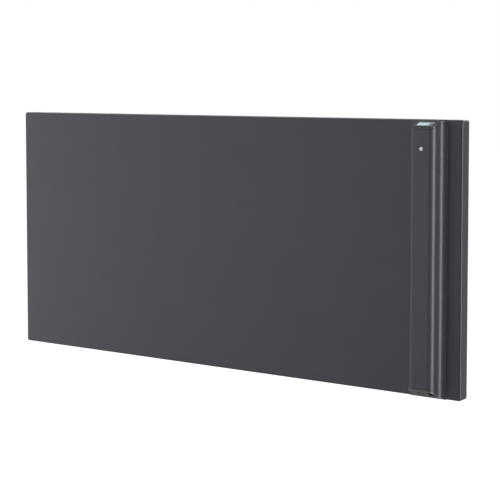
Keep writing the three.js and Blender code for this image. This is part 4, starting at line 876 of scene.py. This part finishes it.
def buttons():
    """Three keys, each with the flange that holds it under the cap and a pale mark on its top."""
    top = -CAP - GAP
    bottom = top - BUTTON_FLANGE_THICKNESS
    middle = (BUTTON_NEAR + BUTTON_FAR) / 2
    for name, bars in mark_bars().items():
        offset = BUTTON_PLACES[name]
        half = BUTTON_WIDTH / 2
        key = from_bmesh(f"key_{name}", block(
            (offset - half, BUTTON_NEAR, bottom), (offset + half, BUTTON_FAR, BUTTON_PROUD)))
        half += BUTTON_FLANGE
        flange = from_bmesh("tool_flange", block(
            (offset - half, BUTTON_NEAR - BUTTON_FLANGE, bottom),
            (offset + half, BUTTON_FAR + BUTTON_FLANGE, top)))
        carved(key, [flange], "UNION")
        placed(key, TOP_FRAME)
        stand_in(softened(key, BUTTON_EDGE, steps=4), name, name)
        shifted = [(x0 + offset, y0 + middle, x1 + offset, y1 + middle) for x0, y0, x1, y1 in bars]
        mark = bars_object(f"mark_{name}", shifted, BUTTON_PROUD - MARK_SUNK, BUTTON_PROUD + MARK_PROUD)
        finished(mark, PRINT_PALE, name)


def lens():
    """The domed indicator lens, with the flange behind the cover's wall and the stem to its lamp."""
    low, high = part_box("indicator_lens")
    proud = FRONT_Y - low.y
    flange = FRONT_Y + COVER_WALL + GAP
    flange_back = flange + LENS_FLANGE_THICKNESS
    profile = []
    for step in range(ROUND_STEPS + 1):
        radius = LENS_RADIUS * step / ROUND_STEPS
        profile.append((max(radius, HAIR), low.y + dome_fall(LENS_RADIUS, proud, radius)))
    profile += [(LENS_RADIUS, flange), (LENS_RADIUS + LENS_FLANGE, flange),
                (LENS_RADIUS + LENS_FLANGE, flange_back), (LENS_STEM, flange_back), (LENS_STEM, high.y)]
    made = from_bmesh("lens_indicator", revolved(profile, LENS_STEPS, "Y"))
    placed(made, Matrix.Translation((COLUMN_X, 0, INDICATOR_Z)))
    stand_in(shaded(made), "indicator_lens")


def rocker():
    """The dished paddle on its pivot, tilted to its resting side."""
    half = ROCKER_LENGTH / 2
    wide = ROCKER_WIDTH / 2
    outline = []
    for step in range(ROCKER_STEPS + 1):
        y = -half + ROCKER_LENGTH * step / ROCKER_STEPS
        outline.append((y, ROCKER_DISH - ROCKER_HEIGHT - dome_fall(half, ROCKER_DISH, y)))
    outline += [(half / 2, ROCKER_KEEL), (-half / 2, ROCKER_KEEL)]
    paddle = from_bmesh("paddle_rocker", loft([[(x, y, z) for y, z in outline] for x in (-wide, wide)]))
    pivot = rod("tool_pivot", PIVOT_RADIUS, -wide - PIVOT_END, wide + PIVOT_END, HOLE_STEPS, "Z")
    placed(pivot, Matrix.Rotation(math.radians(90), 4, "Y"))
    carved(paddle, [pivot], "UNION")
    spot = BOTTOM_FRAME @ Matrix.Translation((ROCKER_OFFSET, ROCKER_START + half, ROCKER_PIVOT))
    placed(paddle, spot @ Matrix.Rotation(ROCKER_TILT, 4, "X"))
    softened(paddle, ROCKER_EDGE, angle=40)
    finished(paddle, ROCKER_BLACK, "mains_rocker", "mains_rocker")


# Rear screws and buffers


def rear_screws():
    """Domed cross-head screws, each turned a little further than the one before."""
    dome = SCREW_HEAD - SCREW_RIM
    for index, name in enumerate(REAR_SCREWS, 1):
        low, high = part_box(name)
        middle = (low + high) / 2
        radius = (high.x - low.x) / 2
        head = high.y - SCREW_HEAD
        rim = head + SCREW_RIM
        profile = [(point, low.y + along) for point, along in SCREW_POINT]
        profile += [(SCREW_RADIUS, head), (radius - SCREW_RIM_BEVEL, head), (radius, rim)]
        for turn in quarter_turns(ROUND_STEPS)[1:]:
            profile.append((max(radius * math.cos(turn), HAIR), rim + dome * math.sin(turn)))
        screw = from_bmesh(f"screw_{index}", revolved(profile, FINE_STEPS, "Y"))
        cross = [from_bmesh("tool_cross", block((-a, high.y - CROSS_DEPTH, -b), (a, high.y + TOOL_REACH, b)))
                 for a, b in ((CROSS_ARM, CROSS_HALF), (CROSS_HALF, CROSS_ARM))]
        carved(screw, cross)
        spot = Matrix.Translation((middle.x, 0, middle.z))
        placed(screw, spot @ Matrix.Rotation(SCREW_TURN * index, 4, "Y"))
        stand_in(shaded(screw), name)


def buffers():
    """Rubber feet with a barb that holds in the sheet, a rounded rim and a shallow dimple."""
    for side in ("left", "right"):
        name = f"buffer_{side}"
        low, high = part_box(name)
        middle = (low + high) / 2
        radius = (high.x - low.x) / 2
        foot = high.y - BUFFER_FOOT
        profile = [(barb, low.y + along) for barb, along in BUFFER_BARB]
        profile += [(BUFFER_STEM, foot), (radius - BUFFER_BEVEL, foot), (radius, foot + BUFFER_BEVEL)]
        for turn in quarter_turns(ROUND_STEPS):
            profile.append((radius - BUFFER_ROUND * (1 - math.cos(turn)),
                            high.y - BUFFER_ROUND * (1 - math.sin(turn))))
        profile += [(dimple, high.y - depth) for dimple, depth in BUFFER_DIMPLE]
        made = from_bmesh(f"foot_{side}", revolved(profile, BUFFER_STEPS, "Y"))
        placed(made, Matrix.Translation((middle.x, 0, middle.z)))
        stand_in(shaded(made), name)


# Shapes that stay the frame's own: welded, their flat faces joined, their edges rounded a little

WELD = 0.000002
SMOOTH_ANGLE = math.radians(34)
FLAT_ANGLE = math.radians(0.5)
SMALL_EDGE = 0.0002
SOFT_EDGE = {
    "rear_shell": 0.0004,
    "element_fins": 0.0003,
    "terminal_block": 0.0005,
    "relay": 0.0005,
    "power_module": 0.0006,
    "gland_nut": 0.0005,
    "gland_locknut": 0.0004,
    "electronics_carrier": 0.0003,
    "mains_switch_body": 0.0003,
}
BRACKET_NODES = ("bracket_rail_left", "bracket_rail_right", "bracket_cross_bar")


def smoothing_group():
    """Geometry nodes that weld a mesh and shade it smooth across its shallow edges."""
    group = bpy.data.node_groups.new("smoothing", "GeometryNodeTree")
    group.interface.new_socket("Geometry", in_out="INPUT", socket_type="NodeSocketGeometry")
    group.interface.new_socket("Geometry", in_out="OUTPUT", socket_type="NodeSocketGeometry")
    graph = Graph(group)
    start = graph.add("NodeGroupInput")
    end = graph.add("NodeGroupOutput")
    forget = graph.add("GeometryNodeRemoveAttribute", Name="custom_normal")
    merge = graph.add("GeometryNodeMergeByDistance", Distance=WELD)
    faces = graph.add("GeometryNodeSetShadeSmooth")
    edges = graph.add("GeometryNodeSetShadeSmooth", domain="EDGE")
    turn = graph.add("GeometryNodeInputMeshEdgeAngle")
    shallow = graph.add("FunctionNodeCompare", operation="LESS_THAN", B=SMOOTH_ANGLE)
    graph.link(start.outputs[0], forget.inputs["Geometry"])
    graph.link(forget.outputs["Geometry"], merge.inputs["Geometry"])
    graph.link(merge.outputs["Geometry"], faces.inputs["Geometry"])
    graph.link(faces.outputs["Geometry"], edges.inputs["Geometry"])
    graph.link(turn.outputs["Unsigned Angle"], shallow.inputs["A"])
    graph.link(shallow.outputs[0], edges.inputs["Shade Smooth"])
    graph.link(edges.outputs["Geometry"], end.inputs[0])
    return group


def finish_cad_nodes():
    """Gives every node its finish, and the nodes that are seen their smoothing and soft edges."""
    smoothing = smoothing_group()
    for name, node in nodes.items():
        finish = BRACKET_ZINC if name in BRACKET_NODES else FINISHES[SLOT_OF[name]]
        node.data.materials.clear()
        node.data.materials.append(finish)
        if node.hide_render:
            continue
        smooth = node.modifiers.new("smoothing", "NODES")
        smooth.node_group = smoothing
        if name.startswith(("wire_", "display_ribbon")) and name != "wire_grommet":
            continue
        flatten = node.modifiers.new("flatten", "DECIMATE")
        flatten.decimate_type = "DISSOLVE"
        flatten.angle_limit = FLAT_ANGLE
        bevel = node.modifiers.new("edges", "BEVEL")
        bevel.width = SOFT_EDGE.get(name, SMALL_EDGE)
        bevel.segments = 2
        bevel.limit_method = "ANGLE"
        bevel.angle_limit = SMOOTH_ANGLE
        normals = node.modifiers.new("normals", "WEIGHTED_NORMAL")
        normals.keep_sharp = True


# Camera, floor and lights

CAMERA_LENS = 105.3
CAMERA_SENSOR = 36
CAMERA_SHIFT = -0.15
CAMERA_PLACE = (1.2697, -1.7657, 0.2384)
CAMERA_DOWN = 3.76
CAMERA_TURN = 35.54
FRONT_LAMP = {"distance": 2.1, "height": 0, "size": (1.0, 1.8), "target": (-0.15, 0, 0)}
SIDE_LAMP = {"distance": 1.1, "height": 0.1, "size": (0.6, 1.5), "target": (0.35, -0.05, 0)}
WORLD_LIGHT = 0.06
WHITE = (1, 1, 1, 1)
BACKGROUND_RAYS = ("Is Camera Ray", "Is Glossy Ray", "Is Transmission Ray")
FLOOR_LEVEL = -0.75
FLOOR_HALF_WIDTH = 9
FLOOR_NEAR = -6
FLOOR_FAR = 14
FLOOR_GREY = (0.6, 0.6, 0.6, 1)
GLOW_RISES_FROM = 1.2
GLOW_RISES_TO = 2.2
LEAST_GLOW = 0.72


def make_camera():
    data = bpy.data.cameras.new("camera")
    data.lens = CAMERA_LENS
    data.sensor_width = CAMERA_SENSOR
    data.shift_y = CAMERA_SHIFT
    camera = bpy.data.objects.new("camera", data)
    camera.location = CAMERA_PLACE
    camera.rotation_euler = (math.radians(90 - CAMERA_DOWN), 0, math.radians(CAMERA_TURN))
    scene.collection.objects.link(camera)
    scene.camera = camera


def area_light(name, azimuth, power, distance, height, size, target=(0, 0, 0)):
    """A soft light at a compass angle round the target: 0 is straight in front, 90 is to the right."""
    data = bpy.data.lights.new(name, "AREA")
    data.shape = "RECTANGLE"
    data.size, data.size_y = size
    data.energy = power
    light = bpy.data.objects.new(name, data)
    turn = math.radians(azimuth)
    aim = Vector(target)
    place = aim + Vector((distance * math.sin(turn), -distance * math.cos(turn), height))
    light.location = place
    light.rotation_euler = (aim - place).to_track_quat("-Z", "Y").to_euler()
    scene.collection.objects.link(light)
    return light


def make_lights(coated, column):
    """Soft lamps, two strips that add only gloss to the coated pieces, and a lamp for the column's side."""
    area_light("key_left", -57, 16.5, **FRONT_LAMP)
    area_light("front_left", -27, 8.7, **FRONT_LAMP)
    area_light("front_soft", -8, 5.2, **FRONT_LAMP)
    area_light("side_soft", 84, 3.2, **SIDE_LAMP)
    strips = (area_light("strip_right", 84, 66, **SIDE_LAMP),
              area_light("strip_top", -84, 18, distance=1.2, height=1.7, size=(1.2, 1.2)))
    for strip in strips:
        strip.visible_diffuse = False
        strip.light_linking.receiver_collection = coated
    column_side = area_light("column_side", 88, 12, **SIDE_LAMP)
    column_side.light_linking.receiver_collection = column
    column_side.visible_glossy = False
    area_light("top_soft", 10, 5.6, distance=0.5, height=1.7, size=(1.8, 1.2), target=(0, -0.05, 0))
    area_light("back_soft", 182, 20, distance=2.2, height=0.7, size=(1.2, 1.4))


def background_share(graph):
    """One where a ray that shows the background arrives, else nought."""
    path = graph.add("ShaderNodeLightPath")
    seen = path.outputs[BACKGROUND_RAYS[0]]
    for kind in BACKGROUND_RAYS[1:]:
        either = graph.add("ShaderNodeMath", operation="MAXIMUM")
        graph.link(seen, either.inputs[0])
        graph.link(path.outputs[kind], either.inputs[1])
        seen = either.outputs[0]
    return seen


def make_world():
    """A white background that gives the scene only a weak light."""
    world = bpy.data.worlds.new("studio")
    world.use_nodes = True
    graph = Graph(world.node_tree)
    graph.tree.nodes.clear()
    output = graph.add("ShaderNodeOutputWorld")
    light = graph.add("ShaderNodeBackground", Color=WHITE, Strength=WORLD_LIGHT)
    white = graph.add("ShaderNodeBackground", Color=WHITE, Strength=1)
    mix = graph.add("ShaderNodeMixShader")
    graph.link(background_share(graph), mix.inputs["Fac"])
    graph.link(light.outputs[0], mix.inputs[1])
    graph.link(white.outputs[0], mix.inputs[2])
    graph.link(mix.outputs[0], output.inputs["Surface"])
    scene.world = world


def make_floor():
    """A pale floor that takes the object's shadow and glows up to the background's white away from it."""
    left, right = -FLOOR_HALF_WIDTH, FLOOR_HALF_WIDTH
    body = bmesh.new()
    ring = ((left, FLOOR_NEAR), (right, FLOOR_NEAR), (right, FLOOR_FAR), (left, FLOOR_FAR))
    body.faces.new([body.verts.new((x, y, FLOOR_LEVEL)) for x, y in ring])
    floor = from_bmesh("floor", body)
    material = bpy.data.materials.new("floor")
    material.use_nodes = True
    graph = Graph(material.node_tree)
    graph.tree.nodes.clear()
    output = graph.add("ShaderNodeOutputMaterial")
    matt = graph.add("ShaderNodeBsdfDiffuse", Color=FLOOR_GREY)
    place = graph.add("ShaderNodeTexCoord")
    away = graph.add("ShaderNodeVectorMath", operation="LENGTH")
    rise = graph.add("ShaderNodeMapRange", From_Min=GLOW_RISES_FROM, From_Max=GLOW_RISES_TO,
                     To_Min=LEAST_GLOW, To_Max=1)
    glow = graph.add("ShaderNodeEmission")
    dark = graph.add("ShaderNodeEmission", Strength=0)
    pick = graph.add("ShaderNodeMixShader")
    both = graph.add("ShaderNodeAddShader")
    graph.link(place.outputs["Object"], away.inputs[0])
    graph.link(away.outputs["Value"], rise.inputs["Value"])
    graph.link(rise.outputs[0], glow.inputs["Strength"])
    graph.link(background_share(graph), pick.inputs["Fac"])
    graph.link(dark.outputs[0], pick.inputs[1])
    graph.link(glow.outputs[0], pick.inputs[2])
    graph.link(matt.outputs[0], both.inputs[0])
    graph.link(pick.outputs[0], both.inputs[1])
    graph.link(both.outputs[0], output.inputs["Surface"])
    floor.data.materials.append(material)


coated = bpy.data.collections.new("coated")
column = bpy.data.collections.new("column")
coated.objects.link(front_panel())
for piece in (column_cover(), top_cap(), bottom_cap()):
    coated.objects.link(piece)
    column.objects.link(piece)
vent_shade_linings()
rocker_shade_ring()
display()
buttons()
lens()
rocker()
rear_screws()
buffers()
finish_cad_nodes()
make_camera()
make_lights(coated, column)
make_world()
make_floor()
scene.view_settings.view_transform = "Standard"
